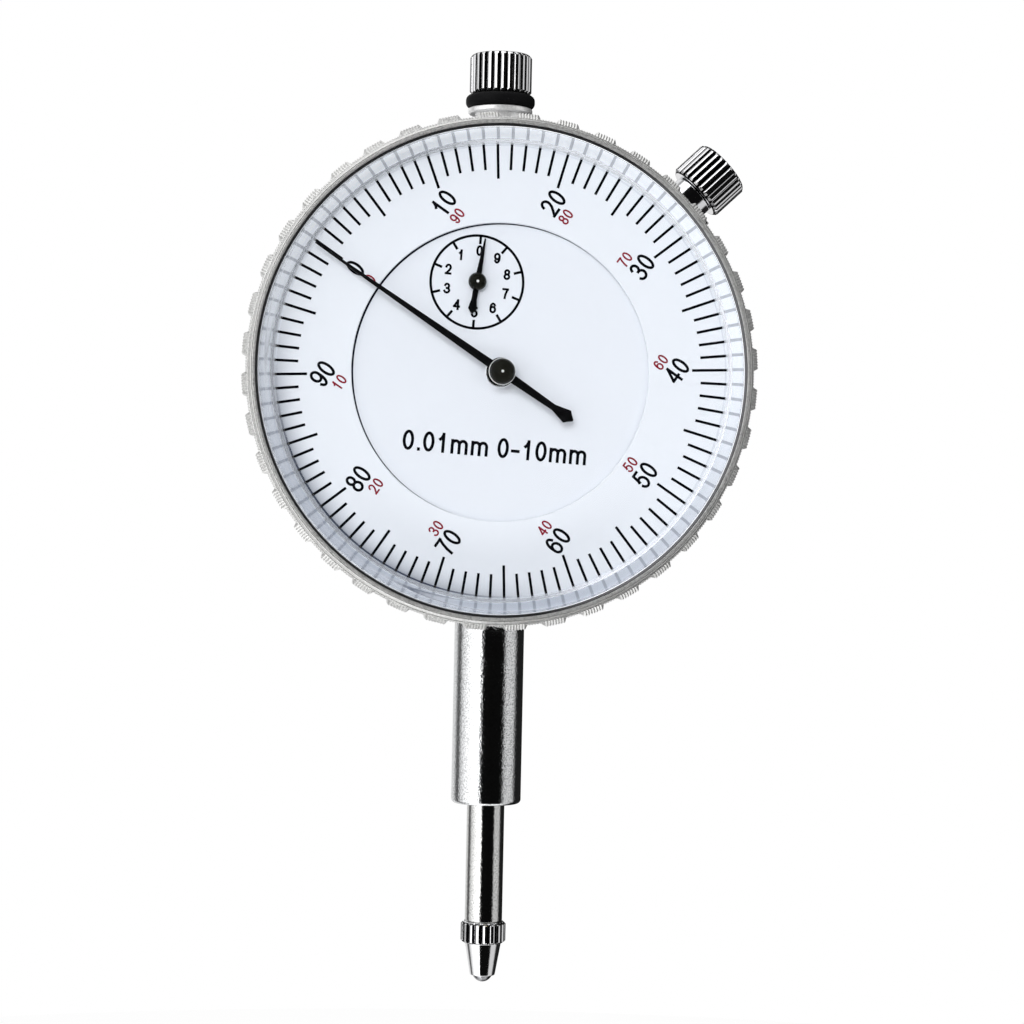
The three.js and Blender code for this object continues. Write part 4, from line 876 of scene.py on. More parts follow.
def lettering(name, words, thick, back, where, material):
    """Printed words. Each is (text, right, up, height, narrowing), with its middle at that place.

    `thick` is the width of a stroke as a share of the height."""
    form = bmesh.new()
    for text, right, up, height, narrowing in words:
        sections, width = glyph_sections(text, narrowing, thick)
        corners = [corner for section in sections for corner in section]
        faces = [tuple(range(i, i + 4)) for i in range(0, len(corners), 4)]
        corners, _, faces, _, _, origins = delaunay_2d_cdt(corners, [], faces, 1, 0.00002)
        made = [
            form.verts.new(
                (right + (c.x - width / 2) * height, up + (c.y - 0.5) * height, back - INK_SINK),
            ) for c in corners
        ]
        for face, origin in zip(faces, origins):
            if origin:
                form.faces.new([made[i] for i in face])
    loose = [v for v in form.verts if not v.link_faces]
    bmesh.ops.delete(form, geom=loose, context="VERTS")
    return clean(raised(form, name, INK + INK_SINK), where, material)


def coil(name, points, radius, sides, where, material):
    """A wire of round section along a list of points, with closed ends."""
    path = np.array(points, float)
    rows = []
    side = np.array([0.0, 0.0, 1.0])
    for i, point in enumerate(path):
        before, after = path[max(0, i - 1)], path[min(len(path) - 1, i + 1)]
        ahead = (after - before) / np.linalg.norm(after - before)
        side = side - ahead * (side @ ahead)
        side = side / np.linalg.norm(side)
        other = np.cross(ahead, side)
        angles = np.linspace(0, 2 * math.pi, sides, endpoint=False)
        ring = [point + radius * (math.cos(a) * side + math.sin(a) * other) for a in angles]
        if i == 0:
            rows.append([point] * sides)
        rows.append(ring)
        if i == len(path) - 1:
            rows.append([point] * sides)
    piece = new_piece(name, grid_mesh(name, rows, False, True))
    return clean(piece, where, material, 50)


def belongs(piece, body, slot, *nodes):
    """Puts a finished piece on its body and hides the nodes that it stands for. `slot`, its finish, is not
    used.
    """
    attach(piece, body)
    if nodes:
        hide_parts(*nodes)
    return piece


# Case, back cover and screws.

case = solid(
    "case_shell",
    [
        (0, WEB_BACK), (22.4, WEB_BACK), (CAVITY_RADIUS, 3.55), (CAVITY_RADIUS, CASE_BACK),
        (CASE_RADIUS, CASE_BACK, 0.45), (CASE_RADIUS, CASE_SHOULDER, 0.25), (SPIGOT_RADIUS, CASE_SHOULDER),
        (SPIGOT_RADIUS, 5.5), (24.05, 5.5), (24.05, 6.4), (SPIGOT_RADIUS, 6.4), (SPIGOT_RADIUS, 6.95),
        (20.0, 6.95), (20.0, WEB_FRONT), (0, WEB_FRONT),
    ],
    0.08, in_front(), CASE_FINISH,
)
belongs(case, "head", "cast_alloy", "case")

COVER_RADIUS = 26.1
LUG_HALF = 2.5
LUG_HOLE_BACK = 12.9
LUG_HOLE_RADIUS = 3.25
LUG_END_RADIUS = 6.4
LUG_FOOT = 17.0

cover = solid(
    "cover_plate",
    [
        (0, CASE_BACK), (COVER_RADIUS, CASE_BACK), (COVER_RADIUS, COVER_BACK, 0.5), (24.9, COVER_BACK, 0.2),
        (24.6, COVER_BACK + 0.25, 0.2), (24.2, COVER_BACK, 0.2), (0, COVER_BACK),
    ],
    0.05, in_front(), CASE_FINISH,
)
belongs(cover, "head", "cast_alloy", "back_cover")


def lug_outline():
    """The lug from the side: distance behind the plunger, and up, foot first."""
    foot = -COVER_BACK - 0.6
    start, control = -COVER_BACK, -COVER_BACK + 3.3
    points = [(foot, -LUG_FOOT / 2)]
    steps = 14
    for i in range(steps + 1):
        t = i / steps
        a, b, c = (1 - t) ** 2, 2 * t * (1 - t), t**2
        along = a * start + b * control + c * LUG_HOLE_BACK
        points.append((along, -(a * LUG_FOOT / 2 + b * LUG_END_RADIUS + c * LUG_END_RADIUS)))
    for i in range(1, 48):
        angle = -math.pi / 2 + math.pi * i / 48
        points.append((LUG_HOLE_BACK + LUG_END_RADIUS * math.cos(angle), LUG_END_RADIUS * math.sin(angle)))
    points += [(x, -y) for x, y in reversed(points[: steps + 2])]
    return points


def sideways():
    """Local X backwards, Y up and Z to the right."""
    return from_centre(Matrix(((0, 0, 1, 0), (1, 0, 0, 0), (0, 1, 0, 0), (0, 0, 0, 1))))


lug = plate(
    "mounting_lug", lug_outline(), -LUG_HALF, LUG_HALF, sideways(), CASE_FINISH, bevel=0.35,
    holes=[disc_outline(LUG_HOLE_RADIUS, 72, (LUG_HOLE_BACK, 0))],
)
belongs(lug, "head", "cast_alloy")

SCREW_ANGLES = (60, 120, 240, 300)
SCREW_PLACE = 22.6
SCREW_HEAD = 1.8
for number, angle in enumerate(SCREW_ANGLES, 1):
    place = (SCREW_PLACE * math.sin(math.radians(angle)), SCREW_PLACE * math.cos(math.radians(angle)))
    head_back = COVER_BACK - 0.8
    slot_floor = COVER_BACK - 0.4
    half_slot = 0.27
    rows = filleted(
        [(0, COVER_BACK + 1.0), (1.75, COVER_BACK + 1.0), (SCREW_HEAD, head_back, 0.3), (0, head_back)], 0.05,
    )
    screw = turned(f"cover_screw_head_{number}", rows, in_front(0, place), PLATING, segments=72)
    cutter = plate(
        "screw_slot", [(-3, -half_slot), (3, -half_slot), (3, half_slot), (-3, half_slot)], head_back - 1,
        slot_floor, in_front(20 + 65 * number, place), PLATING,
    )
    modifier = screw.modifiers.new("slot", "BOOLEAN")
    modifier.operation = "DIFFERENCE"
    modifier.solver = "EXACT"
    modifier.object = cutter
    bake(screw)
    bpy.data.objects.remove(cutter)
    clean(screw, Matrix.Identity(4), PLATING)
    belongs(screw, "head", "steel", f"cover_screw_{number}")


# Stem and bushes.

STEM_BOTTOM = -49.1
STEM_TOP = -20.8

stem = sleeve(
    "stem_tube",
    [(3.02, STEM_BOTTOM), (STEM_RADIUS, STEM_BOTTOM, 0.45), (STEM_RADIUS, STEM_TOP), (3.02, STEM_TOP)], 0.15,
    upwards(), STEM_PLATING, steps=5,
)
belongs(stem, "head", "chrome", "stem")

lower_bush = sleeve(
    "lower_bush_sleeve", [(2.2, -49.0), (2.98, -49.0), (2.98, -40.1), (2.2, -40.1)], 0.1, upwards(), BRASS,
    steps=3,
)
belongs(lower_bush, "head", "brass", "lower_bush")

upper_bush = sleeve(
    "upper_bush_sleeve",
    [(2.21, 22.7), (2.8, 22.7), (2.8, 30.05, 0.1), (3.7, 30.05, 0.22), (3.7, 30.7, 0.2), (2.21, 30.7)], 0.1,
    upwards(), FLANGE_PLATING,
)
belongs(upper_bush, "head", "chrome", "upper_bush")


# Plunger, contact and lifting cap.

CONTACT_TOP = -62.7
COLLAR_BOTTOM = -65.15
CONE_BOTTOM = -68.9
CAP_BOTTOM = 32.25

plunger = solid(
    "plunger_rod",
    [(0, CONTACT_TOP), (PLUNGER_RADIUS, CONTACT_TOP, 0.2), (PLUNGER_RADIUS, CAP_BOTTOM), (0, CAP_BOTTOM)], 0.1,
    upwards(), PLUNGER_STEEL, segments=HUB_ROUND,
)
belongs(plunger, "plunger", "steel", "plunger")

contact = gripped(
    "contact_body",
    filleted(
        [
            (0, CONTACT_TOP), (2.2, CONTACT_TOP), (2.6, CONTACT_TOP - 0.3), (2.6, COLLAR_BOTTOM + 0.25),
            (2.25, COLLAR_BOTTOM), (2.08, COLLAR_BOTTOM), (1.43, CONE_BOTTOM, 0.1), (1.05, CONE_BOTTOM),
            (0, CONE_BOTTOM),
        ],
        0.06, 3,
    ),
    knurl(2.58, COLLAR_GROOVES, KNURL_RIDGE, COLLAR_FLOOR), COLLAR_GROOVES, upwards(), COLLAR_PLATING,
)
belongs(contact, "plunger", "chrome", "contact_point")

BALL_RADIUS = 1.2
BALL_REACH = 0.8
ball_middle = CONE_BOTTOM + BALL_RADIUS - BALL_REACH
ball_rows = []
for i in range(25):
    angle = -math.pi / 2 + math.pi * i / 24
    ball_rows.append((BALL_RADIUS * math.cos(angle), ball_middle + BALL_RADIUS * math.sin(angle)))
ball = turned("contact_tip_ball", ball_rows, upwards(), BALL_STEEL, segments=SMALL_ROUND)
belongs(ball, "plunger", "steel", "contact_ball")


def knob(name, bottom, top, where, material):
    """A knurled knob with rounded ends and a shallow dish on its top."""
    profile = filleted(
        [
            (0, bottom), (3.2, bottom, 0.08), (3.6, bottom + 0.4, 0.1), (3.6, top - 0.35, 0.1),
            (3.25, top, 0.15), (2.7, top, 0.1), (2.55, top - 0.12, 0.1), (0, top - 0.12),
        ],
        0.1, 3,
    )
    return gripped(
        name, profile, knurl(CAP_RADIUS, CAP_GROOVES, KNURL_RIDGE, CAP_FLOOR), CAP_GROOVES, where, material,
    )


cap = knob("lifting_cap_knob", CAP_BOTTOM, CAP_BOTTOM + CAP_LENGTH, upwards(), CAP_PLATING)
belongs(cap, "plunger", "knurled_chrome", "lifting_cap")

ring_inner, ring_outer, ring_bottom, ring_top = 2.17, 3.97, 30.76, 32.24
cap_ring = sleeve(
    "cap_ring_rubber",
    [
        (ring_inner, ring_bottom), (ring_outer, ring_bottom, 0.6), (ring_outer, ring_top, 0.6),
        (ring_inner, ring_top),
    ],
    0.1, upwards(), RUBBER, steps=6,
)
belongs(cap_ring, "plunger", "rubber", "cap_ring")


# Inner dial with its print, a painted shadow at its edge, and the bush in its middle.

inner_dial = solid(
    "inner_dial_plate",
    [
        (0, WEB_FRONT), (INNER_DIAL_RADIUS, WEB_FRONT), (INNER_DIAL_RADIUS, INNER_DIAL_FRONT),
        (0, INNER_DIAL_FRONT),
    ],
    0.05, in_front(), DIAL_WHITE,
)
belongs(inner_dial, "head", "dial", "inner_dial")

# Painted shadow: a dark crescent, off centre, where the scale ring's edge shades the inner dial at the upper
# left.
window_shadow_crescent = plate(
    "window_edge_painted_shadow", disc_outline(17.2, FINE_ROUND), INNER_DIAL_FRONT - INK_SINK, INNER_DIAL_FRONT + INK,
    in_front(), EDGE_PAINTED_SHADOW, holes=[disc_outline(16.66, FINE_ROUND, (0.18, -0.08))],
)
belongs(window_shadow_crescent, "head", "dial")

SMALL_OUTER = 5.2
small_marks = divisions(
    "small_dial_divisions", INNER_DIAL_FRONT, in_front(DIAL_TWIST, SMALL_DIAL), BLACK_INK, Count=10, Every=1,
    Outer=SMALL_OUTER, Short=0.95, Long=0.95, Width=0.29,
)
belongs(small_marks, "head", "dial")

line_half = 0.145
small_line = turned(
    "small_dial_circle",
    [
        (SMALL_OUTER - line_half, INNER_DIAL_FRONT - INK_SINK),
        (SMALL_OUTER + line_half, INNER_DIAL_FRONT - INK_SINK),
        (SMALL_OUTER + line_half, INNER_DIAL_FRONT + INK), (SMALL_OUTER - line_half, INNER_DIAL_FRONT + INK),
    ],
    in_front(0, SMALL_DIAL), BLACK_INK, closed=True, segments=120,
)
belongs(small_line, "head", "dial")

small_words = []
for digit in range(10):
    angle = -math.radians(36 * digit)
    small_words.append((str(digit), 3.46 * math.sin(angle), 3.46 * math.cos(angle) + 0.07, 1.22, 0.95))
small_numerals = lettering(
    "small_dial_numerals", small_words, 0.205, INNER_DIAL_FRONT, in_front(DIAL_TWIST, SMALL_DIAL), BLACK_INK,
)
belongs(small_numerals, "head", "dial")

range_words = lettering(
    "dial_range_print", [("0.01mm 0-10mm", 0.12, -8.42, 2.26, 0.868)], 0.15, INNER_DIAL_FRONT,
    in_front(DIAL_TWIST), BLACK_INK,
)
belongs(range_words, "head", "dial")

bush = sleeve(
    "centre_bush_sleeve", [(0.52, WEB_BACK), (1.74, WEB_BACK), (1.74, 7.2, 0.12), (0.52, 7.2)], 0.05,
    in_front(), PLATING, segments=HUB_ROUND,
)
belongs(bush, "head", "chrome", "centre_bush")


# Hands.


def hand(name, half, back, thickness, where):
    """A flat pointer drawn as its right half from tip to tail."""
    outline = half + [(-x, y) for x, y in reversed(half)]
    return plate(name, outline, back, back + thickness, where, HAND_LACQUER, bevel=0.05)


HAND_THICKNESS = 0.2
main_hand = hand(
    "main_pointer",
    [
        (0.07, 25.2), (0.13, 23.0), (0.47, 1.2), (0.5, 0.0), (0.49, -1.2), (0.36, -7.0), (0.82, -8.85),
        (0.5, -9.15), (0.1, -9.65),
    ],
    MAIN_HAND_BACK, HAND_THICKNESS, in_front(MAIN_HAND_ANGLE),
)
belongs(main_hand, "centre_arbor", "black_paint", "main_hand")

small_hand = hand(
    "small_pointer", [(0.09, 4.9), (0.33, 0.6), (0.33, -0.6), (0.3, -2.0), (0.5, -3.1), (0.1, -3.6)],
    SMALL_HAND_BACK, HAND_THICKNESS, in_front(SMALL_HAND_ANGLE, SMALL_DIAL),
)
belongs(small_hand, "rack_arbor", "black_paint", "small_hand")


def hub(name, radius, back, front, where):
    """The boss of a hand: a domed rim round a shallow dish."""
    profile = [
        (0.46, back), (radius, back), (radius, front - 0.35, 0.1), (radius * 0.86, front, 0.2),
        (radius * 0.76, front, 0.03), (radius * 0.73, front - 0.05, 0.03), (radius * 0.70, front - 0.01, 0.03),
        (radius * 0.60, front - 0.02, 0.03), (radius * 0.57, front - 0.07, 0.03),
        (radius * 0.54, front - 0.03, 0.03), (0.53, front - 0.03, 0.02), (0.49, front + 0.15, 0.03),
        (0.16, front + 0.15, 0.01), (0.16, front + 0.125), (0.46, front + 0.125),
    ]
    return sleeve(name, profile, 0.05, where, HUB_LACQUER, steps=5, segments=SMALL_ROUND)


def rivet(name, front, where):
    """The bright tip of an arbor in the middle of its hub."""
    profile = [(0, front + 0.122), (0.15, front + 0.122), (0.15, front + 0.18, 0.04), (0, front + 0.22)]
    return solid(name, profile, 0.01, where, RIVET_STEEL, segments=48)


def skirt(name, radius, back, front, where):
    """The bright ring round the foot of a hub."""
    profile = [(radius - 0.3, back), (radius + 0.05, back), (radius + 0.05, front), (radius - 0.3, front)]
    return sleeve(name, profile, 0.03, where, RIVET_STEEL, segments=HUB_ROUND)


main_hub = hub("main_hub", 1.45, MAIN_HAND_BACK + 0.1, MAIN_HUB_FRONT, in_front())
belongs(main_hub, "centre_arbor", "black_paint", "main_hand_hub")
main_skirt = skirt("main_hub_skirt", 1.45, MAIN_HAND_BACK + 0.3, MAIN_HUB_FRONT - 0.4, in_front())
belongs(main_skirt, "centre_arbor", "chrome")
main_rivet = rivet("main_hub_rivet", MAIN_HUB_FRONT, in_front())
belongs(main_rivet, "centre_arbor", "steel")

small_hub = hub("small_hub", 1.02, SMALL_HAND_BACK + 0.1, SMALL_HUB_FRONT, in_front(0, SMALL_DIAL))
belongs(small_hub, "rack_arbor", "black_paint", "small_hand_hub")
small_rivet = rivet("small_hub_rivet", SMALL_HUB_FRONT, in_front(0, SMALL_DIAL))
belongs(small_rivet, "rack_arbor", "steel")


# Scale ring with its print, and a painted shade line at the crystal's foot.

ring = sleeve(
    "scale_ring_plate",
    [
        (WINDOW_RADIUS, RING_BACK), (RING_RADIUS, RING_BACK), (RING_RADIUS, RING_FRONT),
        (WINDOW_RADIUS, RING_FRONT, 0.14),
    ],
    0.05, in_front(), RING_WHITE, segments=FINE_ROUND,
)
belongs(ring, "bezel", "dial", "scale_ring")

ring_marks = divisions(
    "scale_divisions", RING_FRONT, in_front(RING_ZERO), BLACK_INK, Count=100, Every=5, Outer=PRINT_RADIUS,
    Short=3.05, Long=4.05, Width=0.3,
)
belongs(ring_marks, "bezel", "dial")

# Painted shade: a dark crescent where the crystal's wall meets the ring, darkest at the lower left.
foot_shade_line = plate(
    "crystal_foot_painted_shade", disc_outline(25.62, FINE_ROUND), RING_FRONT - INK_SINK, RING_FRONT + INK * 0.7,
    in_front(), FOOT_PAINTED_SHADE, holes=[disc_outline(25.24, FINE_ROUND, (0.12, 0.06))],
)
belongs(foot_shade_line, "bezel", "dial")

NUMERAL_PLACE = 19.9
black_words, red_words = [], []
for tens in range(10):
    angle = math.radians(36 * tens)
    right, up = math.sin(angle), math.cos(angle)
    text = str(10 * tens)
    reverse = str((100 - 10 * tens) % 100)
    black_words.append((text, NUMERAL_PLACE * right, NUMERAL_PLACE * up, 2.25, 0.8))
    drop = -2.05 if up > 0.2 else 2.05 if up < -0.2 else 0.0
    red_right = (NUMERAL_PLACE - 0.5) * right
    red_words.append((reverse, red_right, NUMERAL_PLACE * up + drop, 1.3, 0.84))
black_numerals = lettering("scale_numerals", black_words, 0.138, RING_FRONT, in_front(RING_ZERO), BLACK_INK)
belongs(black_numerals, "bezel", "dial")
red_numerals = lettering("scale_numerals_reverse", red_words, 0.15, RING_FRONT, in_front(RING_ZERO), RED_INK)
belongs(red_numerals, "bezel", "dial")


# Bezel and crystal.


def bezel_grip():
    """One pitch of the rim, from the middle of a valley: raised grip and valley, both finely serrated."""
    teeth, serration = 14, 0.13
    half, foot = 2.3 / 9, 0.028
    shares = (0.5 - half - foot, 0.5 - half, 0.5 + half, 0.5 + half + foot)
    levels = (BAND_RADIUS, GRIP_RADIUS, GRIP_RADIUS, BAND_RADIUS)
    points = []
    for i in range(teeth * 2 + 1):
        share = i / (teeth * 2)
        points.append((share, float(np.interp(share, shares, levels)), serration if i % 2 else 0.0))
    return points


bezel = gripped(
    "bezel_ring",
    filleted(
        [
            (26.6, SKIRT_BACK, 0), (SKIRT_RADIUS, SKIRT_BACK, 0.2), (SKIRT_RADIUS, BAND_BACK),
            (28.3, BAND_BACK), (29.0, BAND_BACK + 0.6), (29.0, BAND_FRONT - 0.75), (28.28, BAND_FRONT, 0.1),
            (LIP_RADIUS - 0.1, BAND_FRONT, 0.05), (LIP_RADIUS, BAND_FRONT + 0.2, 0.05),
            (LIP_RADIUS, BAND_FRONT + 0.5, 0.15), (27.82, LIP_FRONT - 0.08, 0.1),
            (27.78, LIP_FRONT - 0.25, 0.01), (27.71, LIP_FRONT - 0.25, 0.01), (27.68, LIP_FRONT, 0.05),
            (SEAT_RADIUS, LIP_FRONT, 0.08), (SEAT_RADIUS, RING_BACK, 0), (24.6, RING_BACK, 0), (24.6, 6.4, 0),
            (25.05, 6.4, 0), (25.05, 5.5, 0), (24.6, 5.5, 0), (24.6, BAND_BACK, 0), (26.6, BAND_BACK, 0),
        ],
        0.06, 2, True,
    ),
    bezel_grip(), GRIPS, in_front(FIRST_GRIP), BEZEL_PLATING, closed=True, start=90 - 4.5,
    cut_from=LIP_RADIUS + 0.05,
)
belongs(bezel, "bezel", "knurled_chrome", "bezel")

# Painted shade: a dark ring in the seam between crystal and bezel, lighter towards the right.
seam_shade_ring = sleeve(
    "seam_shade_ring",
    [(27.11, RING_BACK), (27.33, RING_BACK), (27.33, LIP_FRONT - 0.15), (27.11, LIP_FRONT - 0.15)], 0.05,
    in_front(), SEAM_PAINTED_SHADE, steps=3,
)
belongs(seam_shade_ring, "bezel", "rubber")
# Painted light: a thin glowing sleeve round the crystal, lighter towards the right, that the crystal's wall
# shows.
painted_light_liner = turned(
    "crystal_painted_light_liner",
    [(27.0, RING_FRONT), (27.06, RING_FRONT), (27.06, LIP_FRONT - 0.3), (27.0, LIP_FRONT - 0.3)], in_front(),
    LINER_PAINTED_LIGHT, closed=True,
)
belongs(painted_light_liner, "bezel", "dial")


def crystal_profile():
    """The cup: its domed top, shoulder and wall from the middle out, then its inside back to the middle."""
    inner = CRYSTAL_RADIUS - CRYSTAL_WALL
    dome, shoulder, round_inside = 0.9, 1.3, 0.9
    top_radius, flat = CRYSTAL_RADIUS - shoulder, inner - round_inside
    shares = [i / 24 for i in range(25)]
    points = [(top_radius * share, CRYSTAL_TOP + dome * (1 - share**2)) for share in shares]
    slope = math.atan2(2 * dome, top_radius)
    steps = 14
    for i in range(1, steps + 1):
        angle = slope + (math.pi / 2 - slope) * i / steps
        across = shoulder * (math.sin(angle) - math.sin(slope)) / (1 - math.sin(slope))
        points.append((top_radius + across, CRYSTAL_TOP - shoulder * (math.cos(slope) - math.cos(angle))))
    points += [(CRYSTAL_RADIUS, RING_FRONT + 0.02), (inner, RING_FRONT + 0.02)]
    steps = 10
    for i in range(steps + 1):
        angle = math.pi / 2 * i / steps
        inwards, down = round_inside * (1 - math.cos(angle)), round_inside * (1 - math.sin(angle))
        points.append((inner - inwards, CRYSTAL_INNER_TOP - down))
    return points + [(flat * share, CRYSTAL_INNER_TOP + dome * (1 - share**2)) for share in shares[-2::-1]]


crystal = turned("crystal_lens", crystal_profile(), in_front(), CRYSTAL, segments=FINE_ROUND, sharp=60)
belongs(crystal, "bezel", "clear", "crystal")

RETAINER_DEPTH = 5.95
RETAINER_ENDS = 165  # degrees from its middle to each end
wire_points = []
for i in range(161):
    angle = math.radians(-RETAINER_ENDS + 2 * RETAINER_ENDS * i / 160)
    wire_points.append((RETAINER_RADIUS * math.sin(angle), RETAINER_RADIUS * math.cos(angle), RETAINER_DEPTH))
bezel_wire = coil("bezel_retaining_wire", wire_points, 0.38, 12, in_front(), WIRE_STEEL)
belongs(bezel_wire, "head", "spring_steel", "bezel_spring")


# Bezel clamp.

CLAW_INNER = SKIRT_RADIUS + 0.12
CLAW_OUTER = CLAW_INNER + 1.9
KNOB_INNER = 31.5


def claw():
    """The claw plate, seen from the right: distance forwards, and outwards from the dial's centre."""
    outline = [
        (-3.0, 26.8), (-1.8, 26.8), (-1.8, CLAW_INNER), (5.2, CLAW_INNER), (5.2, CLAW_OUTER),
        (-3.0, CLAW_OUTER),
    ]
    turn = Matrix(((0, 0, 1, 0), (-1, 0, 0, 0), (0, 1, 0, 0), (0, 0, 0, 1)))
    where = outwards(CLAMP_ANGLE) @ turn
    return plate("clamp_claw_plate", outline, -3.5, 3.5, where, GROUND_STEEL, bevel=0.15)


belongs(claw(), "clamp_claw", "steel", "clamp_claw")

clamp_screw = solid(
    "clamp_screw_shank",
    [
        (0, 24.65), (1.48, 24.65, 0.2), (1.48, CLAW_OUTER + 0.05), (2.5, CLAW_OUTER + 0.05, 0.2),
        (2.5, KNOB_INNER - 0.1, 0.05), (2.2, KNOB_INNER), (0, KNOB_INNER),
    ],
    0.08, outwards(CLAMP_ANGLE), PLATING, segments=HUB_ROUND,
)
belongs(clamp_screw, "clamp_knob", "chrome", "clamp_screw")

clamp_knob = knob(
    "clamp_knob_head", KNOB_INNER, KNOB_INNER + CAP_LENGTH, outwards(CLAMP_ANGLE), CLAMP_KNOB_PLATING,
)
belongs(clamp_knob, "clamp_knob", "knurled_chrome", "clamp_knob")


# Springs inside the case.

PIN_HEIGHT = -6.0
POST_HEIGHT = -19.2
SPRING_AXIS = 6.1
COIL_RADIUS = 1.05
WIRE_RADIUS = 0.15


def return_spring_points():
    points = []
    hook = 0.83
    top = PIN_HEIGHT - hook - COIL_RADIUS - 0.3
    bottom = POST_HEIGHT + hook + COIL_RADIUS + 0.3
    for i in range(13):
        angle = -math.pi / 6 + math.pi * 7 / 6 * i / 12
        points.append((SPRING_AXIS, hook * math.cos(angle), PIN_HEIGHT + hook * math.sin(angle)))
    turns, steps = 9, 24
    for i in range(turns * steps + 1):
        angle = 2 * math.pi * i / steps - math.pi / 2
        along = top + (bottom - top) * i / (turns * steps)
        points.append((SPRING_AXIS + COIL_RADIUS * math.cos(angle), COIL_RADIUS * math.sin(angle), along))
    for i in range(13):
        angle = math.pi + math.pi * 7 / 6 * i / 12
        points.append((SPRING_AXIS + hook * math.cos(angle), 0, POST_HEIGHT + hook * math.sin(angle)))
    return points


return_spring = coil("return_spring_coil", return_spring_points(), WIRE_RADIUS, 8, upwards(), WIRE_STEEL)
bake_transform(return_spring)
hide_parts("return_spring")

spiral_rows = []
for i in range(271):
    angle = 2 * math.pi * (i - 270) / 60
    radius = 1.3 + 0.72 * i / 60
    row = []
    for across, along in ((-0.06, 4.56), (0.06, 4.56), (0.06, 5.04), (-0.06, 5.04)):
        row.append(((radius + across) * math.cos(angle), (radius + across) * math.sin(angle), along))
    spiral_rows.append(row)
spiral_rows.insert(0, [tuple(np.mean(spiral_rows[0], 0))] * 4)
spiral_rows.append([tuple(np.mean(spiral_rows[-1], 0))] * 4)
spiral = new_piece("hairspring_spiral", grid_mesh("hairspring_spiral", spiral_rows, False, True))
clean(spiral, in_front(0, HAIR_ARBOR), WIRE_STEEL)
belongs(spiral, "head", "spring_steel", "hairspring")


# Finishes of the nodes that stay.

FINISHES = {
    "steel": DARK_STEEL,
    "brass": BRASS,
    "chrome": PLATING,
    "knurled_chrome": BEZEL_PLATING,
    "cast_alloy": CASE_FINISH,
    "black_paint": HAND_LACQUER,
    "rubber": RUBBER,
    "dial": DIAL_WHITE,
    "clear": CRYSTAL,
    "spring_steel": WIRE_STEEL,
}
slots = {row["node"]: row["material_slot"] for row in frame["record"]["subparts"]}
for node, part in frame["nodes"].items():
    part.data.materials.clear()
    part.data.materials.append(FINISHES[slots[node]])


# Stage: floor, lamps, surroundings and camera.


def floor_material():
    """White to the camera and to mirrors, with only a breath of the object's shadow."""
    material, tree = new_material("floor_white")
    paper = tree.noise(tree.place(), 4.0)
    white = tree.mix(paper, rgba((0.9,) * 3), rgba((0.93,) * 3))
    matt = tree.add("ShaderNodeBsdfDiffuse", {}, {"Color": white})
    glow = tree.add("ShaderNodeEmission", {}, {"Color": rgba((1, 1, 1)), "Strength": 1.0})
    rays = ("Is Camera Ray", "Is Glossy Ray", "Is Transmission Ray")
    seen, mirrored, through = tree.parts("ShaderNodeLightPath", rays)
    direct = (seen + mirrored + through).clamped()
    mixed = tree.add("ShaderNodeMixShader", {}, {0: direct * 0.9, 1: matt, 2: glow})
    tree.add("ShaderNodeOutputMaterial", {}, {"Surface": mixed})
    return material


FLOOR_HEIGHT = -120.0
FLOOR_RADIUS = 420
FLOOR_BACK = FLOOR_HEIGHT - 2
LAMP_SIZE = 260
DIAL_CENTRE = (0, 0, DIAL_HEIGHT)
floor = turned(
    "floor", [(0, FLOOR_BACK), (FLOOR_RADIUS, FLOOR_BACK), (FLOOR_RADIUS, FLOOR_HEIGHT), (0, FLOOR_HEIGHT)],
    Matrix.Scale(MM, 4), floor_material(),
)
floor.visible_glossy = False


def lamp(name, place, strength):
    """A soft lamp that lights but isn't mirrored. Its strength is what a white card at the dial gets."""
    light = bpy.data.lights.new(name, "AREA")
    light.size = LAMP_SIZE * MM
    reach = (Vector(place) - Vector(DIAL_CENTRE)).length * MM
    light.energy = strength * math.pi**2 * reach**2
    holder = new_piece(name, light)
    holder.location = Vector(place) * MM
    holder.rotation_euler = (Vector(DIAL_CENTRE) - Vector(place)).to_track_quat("-Z", "Y").to_euler()
    holder.visible_glossy = False
    holder.visible_transmission = False
    return holder


lamp("key_lamp", (-130, -600, 210), 0.60)
lamp("fill_lamp", (300, -460, 60), 0.16)


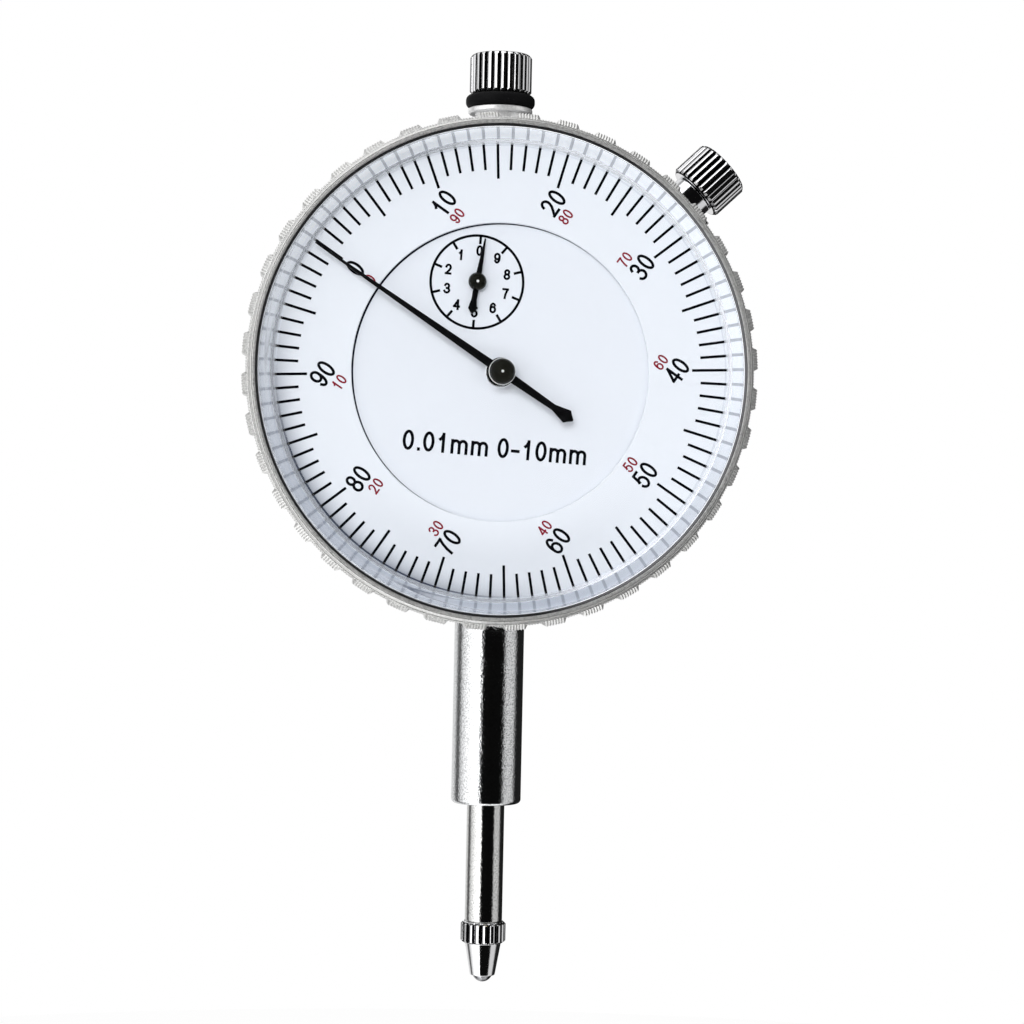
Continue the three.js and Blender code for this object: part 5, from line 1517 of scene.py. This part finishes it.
def surroundings():
    """A studio drawn by direction: bright cards to the left and right, a dark gap behind the camera."""
    world = bpy.data.worlds.new("studio")
    bpy.context.scene.world = world
    world.use_nodes = True
    world.node_tree.nodes.clear()
    tree = Tree(world.node_tree)
    ahead = tree.add("ShaderNodeTexCoord", output="Generated")
    right, back, up = tree.axes(ahead)
    bearing = right.maths("ARCTAN2", right, 0 - back) * (180 / math.pi)

    def card(start, end, soft, soft_end=None):
        rise = ((bearing - start) / soft).clamped()
        fall = ((end - bearing) / (soft_end or soft)).clamped()
        return rise * fall

    level = 0.28 + card(-125, -26, 100, 6) * 2.4 + card(50, 98, 5, 9) * 0.46 + card(-190, -128, 12) * 0.6
    dark = card(-30, 53, 5)
    low = ((0.92 - up) / 0.12).clamped() * ((up + 0.84) / 0.1).clamped()
    level = level * (1 - dark * low * 0.985)
    level = level * (1 - card(95, 190, 8) * 0.94) * (1 - card(-127, -104, 6) * 0.75)
    above = ((up - 0.78) / 0.17).clamped()
    below = ((0 - up - 0.76) / 0.14).clamped()
    level = level + above * 1.1 + below * 1.0
    seen = tree.add("ShaderNodeLightPath", output="Is Camera Ray")
    strength = level * (1 - seen) + seen
    glow = tree.add("ShaderNodeBackground", {}, {"Color": rgba((1, 1, 1)), "Strength": strength})
    tree.add("ShaderNodeOutputWorld", {}, {"Surface": glow})


surroundings()


def photograph_camera():
    """The camera looks level at the middle of the object, a little from the left."""
    camera = bpy.data.cameras.new("camera")
    camera.sensor_width = SENSOR
    camera.lens = FOCAL_PIXELS / PHOTO_PIXELS * SENSOR
    camera.clip_start = 0.01
    camera.clip_end = 20
    holder = new_piece("camera", camera)
    azimuth = math.radians(CAMERA_AZIMUTH)
    back = Vector((math.sin(azimuth), -math.cos(azimuth), 0))
    right = Vector((math.cos(azimuth), math.sin(azimuth), 0))
    aim = right * CAMERA_SIDE + Vector((0, 0, CAMERA_HEIGHT))
    holder.location = (aim + back * CAMERA_DISTANCE) * MM
    holder.rotation_mode = "QUATERNION"
    roll = Matrix.Rotation(math.radians(CAMERA_ROLL), 3, "Z")
    holder.rotation_quaternion = ((-back).to_track_quat("-Z", "Y").to_matrix() @ roll).to_quaternion()
    bpy.context.scene.camera = holder


photograph_camera()
bpy.context.scene.view_settings.view_transform = "Standard"
